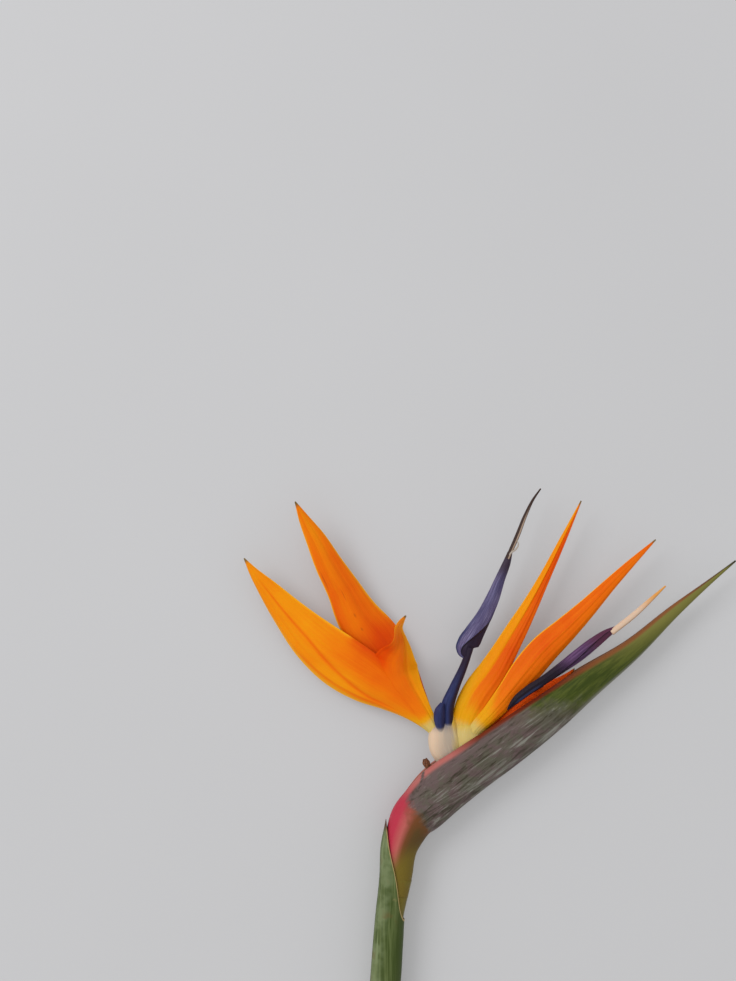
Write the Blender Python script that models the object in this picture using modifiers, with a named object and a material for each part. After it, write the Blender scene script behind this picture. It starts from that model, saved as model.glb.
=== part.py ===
"""Bird of paradise flower, as cut: a stem with its leafy sheath, a boat-shaped spathe, and the two
open flowers that rise from it. It lies on its side on a flat surface.

X runs across the plant, Y from the cut end towards the flowers, and Z up from the surface. The organs
are laid out in millimetres from the neck, where the stem turns into the spathe. At the end everything
is moved so that the origin is the centre of the bounding box's bottom face.

Run with: blender --background --python part.py
"""

import bmesh
import bpy
import numpy as np

MM = 0.001
COLLECTION = "bird_of_paradise_flower"
CUTTERS = "helpers"

# Driving dimensions, in millimetres.
MID = 9.3  # height of the plant's middle plane above the surface it lies on
STEM_LENGTH = 252.0  # from the neck down to the cut
STEM_RADIUS = 4.7
SHEATH_WALL = 0.8
SHEATH_GAP = 0.6  # between the sheath and the stem it wraps
SPATHE_WALL = 1.2
SEPAL_THICK = 1.0
PETAL_THICK = 1.1

# Colours of the fresh plant, linear RGB.
GREEN_STEM = (0.16, 0.22, 0.06)
GREY_GREEN = (0.20, 0.25, 0.17)
SPATHE_GREY = (0.23, 0.23, 0.20)
CREAM = (0.80, 0.68, 0.48)
ORANGE = (0.90, 0.30, 0.01)
DEEP_ORANGE = (0.85, 0.20, 0.01)
INDIGO = (0.05, 0.05, 0.20)
VIOLET = (0.09, 0.05, 0.16)
STYLE_BROWN = (0.12, 0.06, 0.04)
STYLE_PINK = (0.75, 0.45, 0.30)
DRY_BROWN = (0.20, 0.08, 0.03)

# Blades are laid out along their midline: points of (x, y, z, half width). The section of each:
#   cup     height of the arch, as a share of the half width (positive: edges turned down)
#   fold    exponent of the arch: 1 is a sharp keel, 2 a round trough
#   keel    where the keel runs across the width, -1 right margin to 1 left margin
#   roll    turn about the midline at the foot and at the tip, degrees
SEPALS = {
    "flower_1_sepal_lower": dict(
        route=[(11.4, 50.0, 9.4, 2.4), (4.5, 56.8, 10.5, 4.4), (-4.5, 63.7, 11.4, 7.6),
               (-14.5, 70.2, 11.8, 9.7), (-25.0, 76.9, 11.6, 10.2), (-34.8, 84.4, 11.2, 9.3),
               (-45.4, 95.6, 11.2, 6.4), (-53.7, 105.3, 11.6, 4.0), (-59.4, 112.2, 12.2, 1.9),
               (-63.0, 117.6, 13.0, 0.25)],
        cup=0.30, fold=1.6, keel=-0.15, roll=(-4, -14), colour=ORANGE),
    "flower_1_sepal_upper": dict(
        route=[(12.2, 49.8, 7.0, 2.5), (5.2, 61.5, 6.1, 4.9), (-2.0, 73.0, 6.0, 8.2),
               (-9.5, 84.0, 6.8, 9.7), (-17.6, 94.3, 8.4, 8.7), (-23.3, 105.0, 10.4, 6.8),
               (-29.2, 115.2, 12.4, 5.5), (-34.1, 124.8, 14.0, 4.1), (-38.9, 133.2, 15.6, 2.2),
               (-42.5, 140.2, 17.2, 0.25)],
        cup=0.28, fold=1.5, keel=0.25, roll=(0, 6), colour=ORANGE),
    "flower_1_sepal_front": dict(
        route=[(12.3, 50.7, 11.3, 2.2), (8.2, 58.3, 13.2, 3.4), (3.8, 65.9, 15.6, 5.6),
               (0.0, 73.5, 19.5, 6.6), (-2.0, 80.4, 27.0, 5.8), (-2.4, 86.4, 39.0, 3.3),
               (-1.2, 92.3, 53.0, 1.3), (0.6, 97.6, 66.5, 0.25)],
        cup=0.35, fold=1.5, keel=0.1, roll=(2, 8), colour=DEEP_ORANGE),
    "flower_2_sepal_back": dict(
        route=[(23.9, 48.9, 7.3, 3.6), (26.1, 57.0, 7.5, 4.9), (30.4, 64.3, 7.9, 5.2),
               (36.2, 72.0, 8.3, 4.8), (41.5, 80.0, 8.6, 4.3), (46.7, 89.7, 9.0, 3.3),
               (50.6, 96.9, 9.4, 2.5), (56.6, 108.9, 9.9, 1.7), (63.9, 124.1, 10.6, 1.1),
               (71.5, 140.5, 11.5, 0.25)],
        cup=0.5, fold=1.3, keel=0.25, roll=(0, 0), colour=ORANGE),
    "flower_2_sepal_middle": dict(
        route=[(28.7, 49.6, 11.8, 2.4), (34.9, 56.0, 12.3, 3.8), (42.3, 64.5, 12.9, 5.2),
               (49.3, 72.9, 13.2, 6.1), (57.0, 81.0, 13.2, 6.2), (65.5, 88.6, 13.0, 5.5),
               (73.8, 96.7, 12.7, 4.4), (83.4, 106.9, 12.3, 3.0), (91.7, 115.5, 11.9, 1.8),
               (101.2, 125.0, 11.6, 0.25)],
        cup=0.42, fold=1.4, keel=-0.1, roll=(0, 0), colour=DEEP_ORANGE),
    "flower_2_sepal_lower": dict(
        route=[(31.3, 46.3, 8.4, 1.3), (40.0, 51.2, 9.0, 2.0), (50.0, 57.6, 9.4, 2.8),
               (60.0, 64.6, 9.6, 3.0), (68.4, 72.2, 9.8, 2.4), (75.2, 80.2, 10.1, 0.25)],
        cup=0.5, fold=1.3, keel=0.0, roll=(0, 0), colour=DEEP_ORANGE),
}

TONGUES = {
    # stalk: (x, y, z, radius) from the flower's base to the arrowhead. blade: the arrowhead.
    # barb: how far its left and right sides run back past the middle.
    "flower_1_tongue": dict(
        stalk=[(18.1, 50.6, 9.3, 2.4), (18.8, 58.0, 10.0, 2.3), (21.2, 65.4, 10.8, 1.9),
               (24.2, 73.5, 11.6, 1.6), (27.4, 82.5, 12.2, 1.2)],
        blade=[(24.7, 78.6, 13.0, 2.5), (26.2, 82.2, 13.3, 4.0), (28.8, 87.4, 13.5, 3.8),
               (32.7, 94.4, 13.6, 3.3), (36.1, 101.6, 13.6, 2.7), (39.1, 109.4, 13.4, 2.0),
               (41.9, 116.3, 13.0, 1.6), (42.8, 119.5, 12.8, 1.3)],
        barb=(0.6, -0.8), cup=0.55, fold=1.2, keel=0.0, roll=(0, 0), colour=INDIGO),
    "flower_2_tongue": dict(
        stalk=[(28.7, 48.9, 8.6, 1.2), (35.4, 54.6, 8.4, 1.1), (43.8, 61.6, 8.8, 1.1),
               (49.8, 64.6, 8.9, 1.0), (53.3, 65.8, 11.6, 1.0), (55.6, 67.4, 16.0, 1.0)],
        blade=[(42.0, 57.9, 15.4, 0.4), (47.6, 62.6, 16.0, 2.5), (53.4, 67.0, 16.5, 2.9),
               (60.4, 71.6, 16.4, 3.0), (67.6, 76.9, 16.0, 3.7), (74.6, 82.2, 15.4, 3.3),
               (80.4, 86.6, 14.9, 2.4), (85.1, 89.6, 14.4, 1.1)],
        barb=(0.0, 0.0), cup=0.5, fold=1.2, keel=0.2, roll=(0, 0), colour=VIOLET),
}

STYLES = {
    "flower_1_style": dict(
        route=[(43.0, 119.9, 12.8, 1.0), (45.9, 126.5, 12.6, 0.95), (49.4, 135.2, 12.0, 0.75),
               (52.3, 141, 11.5, 0.5), (55.4, 145.4, 11.0, 0.3)],
        colour=STYLE_BROWN),
    "flower_2_style": dict(
        route=[(85.45, 89.75, 14.35, 1.3), (93, 95.7, 13.6, 1.2), (99.8, 101.8, 12.9, 0.8),
               (105.1, 106.6, 12.4, 0.3)],
        colour=STYLE_PINK),
}

HOODS = {
    "flower_1_hood_petal": dict(
        route=[(15.1, 50.0, 12.5, 1.2), (15.2, 53.0, 13.9, 2.0), (15.3, 56.0, 14.7, 2.1),
               (16.0, 59.2, 14.8, 1.2)],
        cup=0.75, fold=1.8, keel=0.0, roll=(0, 0), colour=INDIGO),
    "flower_2_hood_petal": dict(
        route=[(28.9, 48.2, 6.2, 0.9), (32.3, 50.9, 5.5, 1.2), (35.6, 53.6, 5.3, 1.2),
               (38.4, 56.0, 5.2, 0.5)],
        cup=0.5, fold=1.8, keel=0.0, roll=(0, 0), colour=VIOLET),
}

# Fleshy flower bases: (x, y, half depth in the plant's plane, half width across it).
BASES = {
    "flower_1_base": dict(
        route=[(21.6, 31.4, 1.4, 1.2), (18.8, 35.8, 3.0, 2.5), (15.9, 41.8, 4.5, 3.2),
               (14.2, 49.2, 4.6, 3.5)], colour=CREAM),
    "flower_2_base": dict(
        route=[(31.0, 35.2, 1.8, 1.8), (28.8, 39.2, 3.2, 2.8), (27.2, 43.0, 4.0, 3.1),
               (26.4, 47.2, 4.2, 3.2)], colour=CREAM),
}

DRIED_BRACT = dict(
    route=[(10.6, 33.9, 11.0, 1.2), (9.7, 35.7, 11.9, 1.5), (9.1, 37.5, 13.0, 0.8)],
    cup=0.6, fold=1.6, keel=0.0, roll=(0, 0), colour=DRY_BROWN)

# The spathe's stations, from the neck to the point of the beak:
# x, y, half depth (rim to keel), half width, half slit between the lips, hollow (0 solid, 1 open boat).
SPATHE_STATIONS = [
    (-1.9, -9.2, 6.0, 5.7, 0.20, 0.04),
    (-0.5, 2.0, 6.8, 6.2, 0.20, 0.04),
    (1.5, 7.8, 7.9, 6.7, 0.20, 0.04),
    (4.3, 13.3, 9.0, 7.2, 0.25, 0.05),
    (9.1, 18.1, 9.9, 7.4, 1.20, 0.30),
    (14.7, 23.9, 10.5, 7.6, 2.80, 0.70),
    (27.2, 33.4, 10.0, 6.9, 4.30, 1.00),
    (39.3, 41.8, 9.5, 6.8, 4.20, 1.00),
    (58.6, 55.8, 8.2, 6.2, 3.10, 1.00),
    (73.4, 67.4, 6.6, 5.2, 2.10, 1.00),
    (91.4, 80.6, 4.3, 3.4, 1.10, 0.90),
    (109.4, 96.8, 2.4, 2.0, 0.50, 0.50),
    (122.5, 107.6, 1.1, 1.0, 0.25, 0.10),
    (133.6, 116.6, 0.35, 0.35, 0.10, 0.05),
]

STEM_TILT = [  # x and z of the stem's centreline, by share of its length from the cut
    (0.00, -17.0, 4.8), (0.30, -14.4, 5.9), (0.58, -10.8, 7.0), (0.83, -6.7, 8.2),
    (0.94, -4.3, 8.9), (1.00, -1.75, 9.3),
]
STEM_SWELL = [1.0, 1.0, 1.0, 1.02, 1.06, 1.24]  # radius at those places, as a share of STEM_RADIUS
NECK_Y = -9.95

SHEATH_FOOT_Y = -104.0  # where the sheath joins the stem
SHEATH_LOW_Y = -22.5  # lowest point of its slanting mouth, on the spathe's side
SHEATH_TIP_Y = 13.0  # its point, on the other side
SHEATH_TOP = [  # what its upper end wraps: x, y, z and radius
    (-1.6, -9.6, 9.3, 6.1), (-0.6, 2.0, 9.3, 6.8), (1.4, 14.0, 9.3, 7.1),
]


# ---------------------------------------------------------------- curves and frames

def smooth_curve(points, count):
    """Cubic Hermite curve through the points, at count places a constant distance apart.

    Columns after the first two or three, such as a radius, are carried along with the points.
    """
    points = np.array(points, float)
    space = points[:, :2]
    knots = np.concatenate([[0], np.cumsum(np.linalg.norm(np.diff(space, axis=0), axis=1))])
    slopes = np.gradient(points, knots, axis=0)
    fine = np.linspace(0, knots[-1], 40 * len(points))
    span = np.clip(np.searchsorted(knots, fine, side="right") - 1, 0, len(knots) - 2)
    step = (knots[span + 1] - knots[span])[:, None]
    t = (fine[:, None] - knots[span][:, None]) / step
    curve = ((2 * t**3 - 3 * t**2 + 1) * points[span] + (t**3 - 2 * t**2 + t) * step * slopes[span]
             + (3 * t**2 - 2 * t**3) * points[span + 1] + (t**3 - t**2) * step * slopes[span + 1])
    length = np.concatenate(
        [[0], np.cumsum(np.linalg.norm(np.diff(curve[:, :space.shape[1]], axis=0), axis=1))])
    even = np.linspace(0, length[-1], count)
    return np.stack([np.interp(even, length, column) for column in curve.T], axis=1)


def frames(route):
    """Tangent, side (in the plant's plane, left of the tangent) and up vectors along a 3-D route."""
    tangent = np.gradient(route, axis=0)
    tangent /= np.linalg.norm(tangent, axis=1)[:, None]
    side = np.cross([0.0, 0.0, 1.0], tangent)
    side /= np.linalg.norm(side, axis=1)[:, None]
    return tangent, side, np.cross(tangent, side)


# ---------------------------------------------------------------- objects

def material(name, colour, roughness=0.5):
    """A plain Principled finish of one colour."""
    made = bpy.data.materials.get(name) or bpy.data.materials.new(name)
    made.use_nodes = True
    shader = made.node_tree.nodes["Principled BSDF"]
    shader.inputs["Base Color"].default_value = (*colour, 1.0)
    shader.inputs["Roughness"].default_value = roughness
    shader.inputs["Metallic"].default_value = 0.0
    return made


def add_object(name, data, colour, collection=COLLECTION):
    obj = bpy.data.objects.new(name, data)
    bpy.data.collections[collection].objects.link(obj)
    data.materials.append(material(name + "_finish", colour))
    return obj


def mesh_from(name, mesh_builder):
    """A mesh made by filling a BMesh, shaded smooth."""
    bm = bmesh.new()
    mesh_builder(bm)
    mesh = bpy.data.meshes.new(name)
    bm.to_mesh(mesh)
    bm.free()
    mesh.shade_smooth()
    return mesh


def solidify(obj, thickness):
    """Gives an open surface its thickness, half to each side."""
    wall = obj.modifiers.new("Wall", "SOLIDIFY")
    wall.thickness = thickness * MM
    wall.offset = 0.0
    wall.use_even_offset = False


def loft(name, rings, colour, collection=COLLECTION):
    """A closed solid through rings of equally many points, with flat ends."""
    def build(bm):
        loops = [[bm.verts.new(point * MM) for point in ring] for ring in rings]
        for near, far in zip(loops, loops[1:]):
            for k in range(len(near)):
                j = (k + 1) % len(near)
                bm.faces.new((near[k], near[j], far[j], far[k]))
        bm.faces.new(loops[0][::-1])
        bm.faces.new(loops[-1])
        bmesh.ops.recalc_face_normals(bm, faces=bm.faces)
    return add_object(name, mesh_from(name, build), colour, collection)


def tube(name, route, colour, points=16, sides=3, collection=COLLECTION):
    """A round rod along a route: a curve with a bevel, whose radius changes along it."""
    path = smooth_curve(route, points)
    curve = bpy.data.curves.new(name, "CURVE")
    curve.dimensions = "3D"
    curve.bevel_depth = MM
    curve.bevel_resolution = sides
    curve.use_fill_caps = True
    spline = curve.splines.new("POLY")
    spline.points.add(len(path) - 1)
    for point, (x, y, z, radius) in zip(spline.points, path):
        point.co = (x * MM, y * MM, z * MM, 1.0)
        point.radius = radius
    return add_object(name, curve, colour, collection)


def blade_grid(route, cup, fold, keel, roll, along, across, barb=(0.0, 0.0)):
    """Points of a keeled blade on an (along + 1) x (across + 1) grid.

    Across the blade the height falls from the keel as a power of the distance from it, and the
    section turns about the midline by roll. With barb, the left and right sides of the foot run
    back past the middle by so many millimetres, as on an arrowhead.
    """
    u = np.linspace(0, 1, along + 1)
    v = np.linspace(-1, 1, across + 1)
    table = smooth_curve(route, along + 1)
    line, width = table[:, :3], table[:, 3:]
    tangent, side, up = frames(line)
    turn = np.radians(np.interp(u, [0, 1], roll))[:, None]
    across_axis = np.cos(turn) * side + np.sin(turn) * up
    height_axis = np.cos(turn) * up - np.sin(turn) * side
    drop = -cup * width * (np.abs(v - keel) / (1 + abs(keel))) ** fold
    reach = np.where(v > 0, barb[0], barb[1]) * np.abs(v) ** 1.5
    back = reach[None, :] * np.clip(1 - u / 0.3, 0, 1)[:, None] ** 2
    return (line[:, None, :] + across_axis[:, None, :] * (width * v)[..., None]
            + height_axis[:, None, :] * drop[..., None] - tangent[:, None, :] * back[..., None])


def blade(name, spec, thickness, along=14, across=6, collection=COLLECTION):
    """A sepal, petal or bract: a grid laid on the blade's surface, with a thickness."""
    shape = {key: value for key, value in spec.items() if key != "colour"}
    points = blade_grid(**shape, along=along, across=across)

    def build(bm):
        bmesh.ops.create_grid(bm, x_segments=along, y_segments=across, size=0.5)
        for vert in bm.verts:
            i = round((vert.co.x + 0.5) * along)
            j = round((vert.co.y + 0.5) * across)
            vert.co = points[i, j] * MM
    obj = add_object(name, mesh_from(name, build), spec["colour"], collection)
    solidify(obj, thickness)
    return obj


def ellipse_rings(route, stations, sides):
    """Rings of an oval rod: half depth in the plant's plane, half width across it."""
    table = smooth_curve(route, stations)
    line = np.column_stack([table[:, :2], np.full(stations, MID)])
    _, side, up = frames(line)
    angle = np.linspace(0, 2 * np.pi, sides, endpoint=False)[None, :, None]
    return (line[:, None, :] + side[:, None, :] * table[:, 2][:, None, None] * np.cos(angle)
            + up[:, None, :] * table[:, 3][:, None, None] * np.sin(angle))


# ---------------------------------------------------------------- the plant's pieces

def stem_route():
    """(x, y, z, radius) along the stem, from the cut to the neck."""
    return [(x, NECK_Y - STEM_LENGTH * (1 - share), z, STEM_RADIUS * swell)
            for (share, x, z), swell in zip(STEM_TILT, STEM_SWELL)]


def stem():
    """The flower stalk, from its cut end to the neck."""
    tube("stem", stem_route(), GREEN_STEM, 20, 4)


def sheath():
    """The leafy bract round the upper stem: a tube whose mouth slants up to a point on one side."""
    along, around = 12, 14
    lined = smooth_curve(stem_route()[:-1] + SHEATH_TOP, 120)
    lined = lined[np.argsort(lined[:, 1])]

    def build(bm):
        bmesh.ops.create_cone(bm, cap_ends=False, segments=around, radius1=1, radius2=1, depth=along)
        rows = bmesh.ops.subdivide_edges(
            bm, edges=[e for e in bm.edges if abs(e.verts[0].co.z - e.verts[1].co.z) > 0.5],
            cuts=along - 1)
        assert rows
        for vert in bm.verts:
            share = vert.co.z / along + 0.5
            angle = np.arctan2(vert.co.y, vert.co.x)
            point_side = ((1 - np.cos(angle)) / 2) ** 1.5
            top = SHEATH_LOW_Y + (SHEATH_TIP_Y - SHEATH_LOW_Y) * point_side
            y = SHEATH_FOOT_Y + (top - SHEATH_FOOT_Y) * share
            x, z, radius = (np.interp(y, lined[:, 1], lined[:, k]) for k in (0, 2, 3))
            reach = radius + SHEATH_GAP + SHEATH_WALL / 2
            vert.co = ((x + reach * np.cos(angle)) * MM, y * MM, (z + reach * np.sin(angle)) * MM)
    obj = add_object("stem_sheath", mesh_from("stem_sheath", build), GREY_GREEN)
    solidify(obj, SHEATH_WALL)


def spathe():
    """The boat-shaped bract: closed and fleshy at the neck, then a thick-walled boat with a slit
    along its upper edge, ending in a beak."""
    stations, outer, inner = 26, 14, 12
    table = smooth_curve(SPATHE_STATIONS, stations)
    line = np.column_stack([table[:, :2], np.full(stations, MID)])
    _, side, up = frames(line)
    depth, width, slit, hollow = (table[:, k][:, None] for k in (2, 3, 4, 5))

    def section(count, depth, width, slit):
        """From one lip round the keel to the other: an oval opened at the top by the slit."""
        angle = np.linspace(0, 2 * np.pi, count + 1)[None, :]
        half = np.sign(np.pi - angle + 1e-9)
        return (depth * np.cos(angle),
                width * np.sin(angle) + slit * half * (1 + np.cos(angle)) / 2)

    outer_d, outer_w = section(outer, depth, width, slit)
    wall = np.minimum(SPATHE_WALL, 0.45 * np.minimum(depth, width))
    inner_d, inner_w = section(inner, depth - wall, width - wall,
                               np.maximum(slit - 0.5 * wall, 0.5 * slit))
    notch = depth - 0.3 * wall
    inner_d = notch + hollow * (inner_d - notch)
    inner_w = hollow * inner_w + (1 - hollow) * 0.5 * slit * np.sign(inner_w)
    d = np.concatenate([outer_d, inner_d[:, ::-1]], axis=1)
    w = np.concatenate([outer_w, inner_w[:, ::-1]], axis=1)
    rings = line[:, None, :] + side[:, None, :] * d[..., None] + up[:, None, :] * w[..., None]
    loft("spathe", rings, SPATHE_GREY)


def tongue(name, spec):
    """The blue arrow of two petals grown together: a barbed, folded blade on a round stalk."""
    outline = {key: value for key, value in spec.items() if key not in ("stalk", "blade")}
    head = blade(name, dict(outline, route=spec["blade"]), PETAL_THICK, 12, 6)
    stalk_rings = round_rings(spec["stalk"], 9, 8)
    stalk = loft(name + "_stalk", stalk_rings, spec["colour"], CUTTERS)
    stalk.hide_render = True
    stalk.display_type = "WIRE"
    join = head.modifiers.new("Stalk", "BOOLEAN")
    join.operation = "UNION"
    join.object = stalk


def round_rings(route, stations, sides):
    """Rings of a round rod along a route of (x, y, z, radius)."""
    table = smooth_curve(route, stations)
    line, radius = table[:, :3], table[:, None, 3:]
    _, side, up = frames(line)
    angle = np.linspace(0, 2 * np.pi, sides, endpoint=False)[None, :, None]
    return (line[:, None, :] + radius * side[:, None, :] * np.cos(angle)
            + radius * up[:, None, :] * np.sin(angle))


def flowers():
    """Both open flowers, organ by organ."""
    for name, spec in BASES.items():
        rings = ellipse_rings(spec["route"], 10, 12)
        loft(name, rings, spec["colour"])
    for name, spec in SEPALS.items():
        blade(name, spec, SEPAL_THICK)
    for name, spec in TONGUES.items():
        tongue(name, spec)
    for name, spec in HOODS.items():
        blade(name, spec, PETAL_THICK, 8, 6)
    for name, spec in STYLES.items():
        tube(name, spec["route"], spec["colour"], 12, 2)
    blade("dried_bract", DRIED_BRACT, 0.6, 5, 4)


def stand_on_origin():
    """Moves the whole plant so that the origin is the centre of its bounding box's bottom face."""
    bpy.context.view_layer.update()
    graph = bpy.context.evaluated_depsgraph_get()
    corners = []
    for obj in bpy.data.collections[COLLECTION].objects:
        mesh = obj.evaluated_get(graph).to_mesh()
        points = np.empty(len(mesh.vertices) * 3)
        mesh.vertices.foreach_get("co", points)
        corners.append(points.reshape(-1, 3))
    points = np.concatenate(corners)
    low, high = points.min(axis=0), points.max(axis=0)
    shift = (-(low[0] + high[0]) / 2, -(low[1] + high[1]) / 2, -low[2])
    for obj in bpy.data.objects:
        obj.location = shift


def clear_scene():
    for obj in list(bpy.data.objects):
        bpy.data.objects.remove(obj)
    for name in (COLLECTION, CUTTERS):
        collection = bpy.data.collections.new(name)
        bpy.context.scene.collection.children.link(collection)


def main():
    clear_scene()
    stem()
    sheath()
    spathe()
    flowers()
    stand_on_origin()


main()
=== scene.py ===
"""A cut bird of paradise flower lying on a pale table, seen from above.

Run as a script in Blender 4.5. The stem, its sheath, the spathe and every organ of the two open
flowers are surfaces worked out on grids of two parameters; each stands for one solid of the frame.
"""

import bpy
import numpy as np
from bpy.props import FloatProperty, FloatVectorProperty, PointerProperty
from bpy.types import Operator, Panel, PropertyGroup
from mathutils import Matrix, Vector


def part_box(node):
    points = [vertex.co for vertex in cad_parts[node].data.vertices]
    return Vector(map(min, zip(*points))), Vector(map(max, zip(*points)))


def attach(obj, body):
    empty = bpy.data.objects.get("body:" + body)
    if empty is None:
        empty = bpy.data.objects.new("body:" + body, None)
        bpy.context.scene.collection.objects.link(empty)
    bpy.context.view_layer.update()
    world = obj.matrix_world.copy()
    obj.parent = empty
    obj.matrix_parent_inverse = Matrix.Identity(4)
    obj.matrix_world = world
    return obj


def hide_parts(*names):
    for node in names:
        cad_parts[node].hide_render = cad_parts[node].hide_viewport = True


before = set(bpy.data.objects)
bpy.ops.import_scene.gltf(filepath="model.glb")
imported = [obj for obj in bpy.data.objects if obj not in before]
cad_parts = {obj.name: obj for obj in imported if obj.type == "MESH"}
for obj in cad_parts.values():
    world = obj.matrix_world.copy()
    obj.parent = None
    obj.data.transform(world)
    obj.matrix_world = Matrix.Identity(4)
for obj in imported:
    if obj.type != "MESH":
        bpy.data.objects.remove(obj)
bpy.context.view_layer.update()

bl_info = {
    "name": "Bird of paradise flower",
    "version": (1, 0, 0),
    "blender": (4, 5, 0),
    "location": "3D View > Sidebar > Flower",
    "description": "Builds a cut bird of paradise flower lying on a table, organ by organ",
    "category": "Add Mesh",
}

MM = 0.001

# All routes below are in millimetres from the neck, where the stem turns into the spathe, with the
# surface the flower lies on at height zero. The neck's place in the frame comes from the spathe's
# box: its beak reaches furthest in X and Y, and its middle plane halves it in Z.
MIDDLE = 9.3
BEAK = (133.8, 116.8)


def neck_place():
    """Position of the neck on the table in the frame, in metres."""
    low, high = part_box("spathe")
    return np.array([high[0] - BEAK[0] * MM, high[1] - BEAK[1] * MM,
                     (low[2] + high[2]) / 2 - MIDDLE * MM])


NECK = neck_place()

# Blades are laid out along their midline: points of (x, y, z, half width). The first point of each
# sepal lies inside the fleshy base that carries it.
#   cup, fold   height of the arch as a share of the half width, and its exponent
#   keel        where the keel runs across the width, -1 right margin to 1 left margin
#   roll        turn about the midline at the foot and at the tip, degrees
#   calm        how many neighbouring points share one direction, for a blade that bends sharply
#   yellow      how far the yellow of the foot runs up the middle, the left and the right margin, mm
#   margin      side that turns down (1 left, -1 right), where that begins, and by how much, mm
SEPALS = {
    "flower_1_sepal_lower": dict(
        route=[(14.6, 46.6, 9.2, 2.0), (11.4, 50.0, 9.4, 2.5), (4.4, 56.6, 10.5, 4.6),
               (-4.7, 63.5, 11.4, 7.9), (-15.1, 69.5, 11.8, 10.5), (-25.6, 76.1, 11.8, 11.2),
               (-35.3, 84.0, 11.4, 10.0), (-45.9, 95.3, 11.2, 7.0), (-54.0, 105.2, 11.6, 4.3),
               (-59.5, 112.2, 12.2, 2.0), (-63.0, 117.6, 13.0, 0.25)],
        cup=0.30, fold=1.6, keel=-0.15, roll=(-4, -14), yellow=(12, 16, 20),
        margin=(1, 0.76, 1.6)),
    "flower_1_sepal_upper": dict(
        route=[(14.8, 46.4, 7.9, 2.0), (12.2, 49.8, 7.2, 2.5), (5.2, 61.5, 6.8, 4.9),
               (-2.0, 73.0, 7.6, 8.2), (-9.5, 84.0, 8.2, 9.7), (-17.6, 94.3, 9.2, 8.7),
               (-23.3, 105.0, 10.4, 6.8), (-29.2, 115.2, 12.4, 5.5), (-34.1, 124.8, 14.0, 4.1),
               (-38.9, 133.2, 15.6, 2.2), (-42.5, 140.2, 17.2, 0.25)],
        cup=0.28, fold=1.5, keel=0.25, roll=(0, 6), yellow=(12, 12, 12),
        margin=(1, 0.80, 0.8)),
    "flower_1_sepal_front": dict(
        route=[(14.4, 46.6, 10.6, 1.8), (12.0, 50.9, 11.0, 2.4), (6.4, 58.4, 12.0, 4.9),
               (0.5, 66.0, 13.6, 7.8), (-2.3, 72.5, 16.2, 8.7), (-2.5, 76.6, 19.5, 8.2),
               (-1.6, 79.9, 23.7, 6.2), (-0.9, 82.7, 28.7, 4.3), (-1.0, 86.9, 37.5, 2.5),
               (-1.7, 92.3, 50.0, 1.4), (-0.7, 95.1, 58.0, 0.9), (0.6, 97.6, 66.3, 0.25)],
        cup=0.30, fold=1.5, keel=-0.5, roll=(2, 6), yellow=(10, 10, 13),
        margin=(1, 0.90, 0.3), calm=61),
    "flower_2_sepal_back": dict(
        route=[(22.6, 44.2, 9.8, 3.0), (23.9, 49.0, 10.3, 4.2), (26.5, 56.9, 10.8, 5.7),
               (30.6, 64.2, 10.9, 6.2), (36.3, 72.1, 10.4, 5.9), (41.1, 80.3, 9.8, 5.0),
               (46.5, 89.8, 9.2, 4.2), (50.5, 97.0, 9.4, 3.4), (56.6, 108.9, 9.9, 2.3),
               (63.9, 124.1, 10.6, 1.4), (71.5, 140.5, 11.5, 0.25)],
        cup=0.30, fold=1.4, keel=-0.35, roll=(0, 0), yellow=(18, 34, 15),
        margin=(1, 0.85, 0.4)),
    "flower_2_sepal_middle": dict(
        route=[(26.6, 45.0, 10.6, 2.2), (29.6, 49.3, 11.3, 2.8), (35.6, 55.6, 11.9, 3.7),
               (42.7, 64.1, 12.4, 4.7), (49.5, 72.7, 12.8, 5.9), (56.7, 81.2, 13.2, 5.9),
               (65.0, 89.0, 13.0, 5.0), (73.3, 97.1, 12.7, 3.9), (83.0, 107.2, 12.3, 2.6),
               (91.5, 115.7, 11.9, 1.6), (101.2, 125.0, 11.6, 0.25)],
        cup=0.34, fold=1.4, keel=-0.1, roll=(0, 0), yellow=(17, 24, 12),
        margin=(-1, 0.88, 0.5)),
    "flower_2_sepal_lower": dict(
        route=[(27.6, 43.8, 8.4, 1.3), (31.3, 46.3, 8.5, 1.7), (39.5, 51.9, 9.6, 2.4),
               (49.2, 58.7, 10.6, 2.9), (59.4, 65.8, 11.4, 2.5), (65.2, 70.0, 11.2, 1.3),
               (69.0, 73.4, 10.1, 0.25)],
        cup=0.5, fold=1.3, keel=0.0, roll=(0, 0), yellow=(10, 10, 10),
        margin=(1, 0.90, 0.3)),
}

# Small dried flecks on the upper left sepal, as shares: along, across, half length, half width.
FLECKS = [(0.48, 0.20, 0.010, 0.065), (0.535, 0.10, 0.012, 0.065), (0.62, 0.16, 0.035, 0.039),
          (0.70, 0.80, 0.050, 0.065)]

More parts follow.
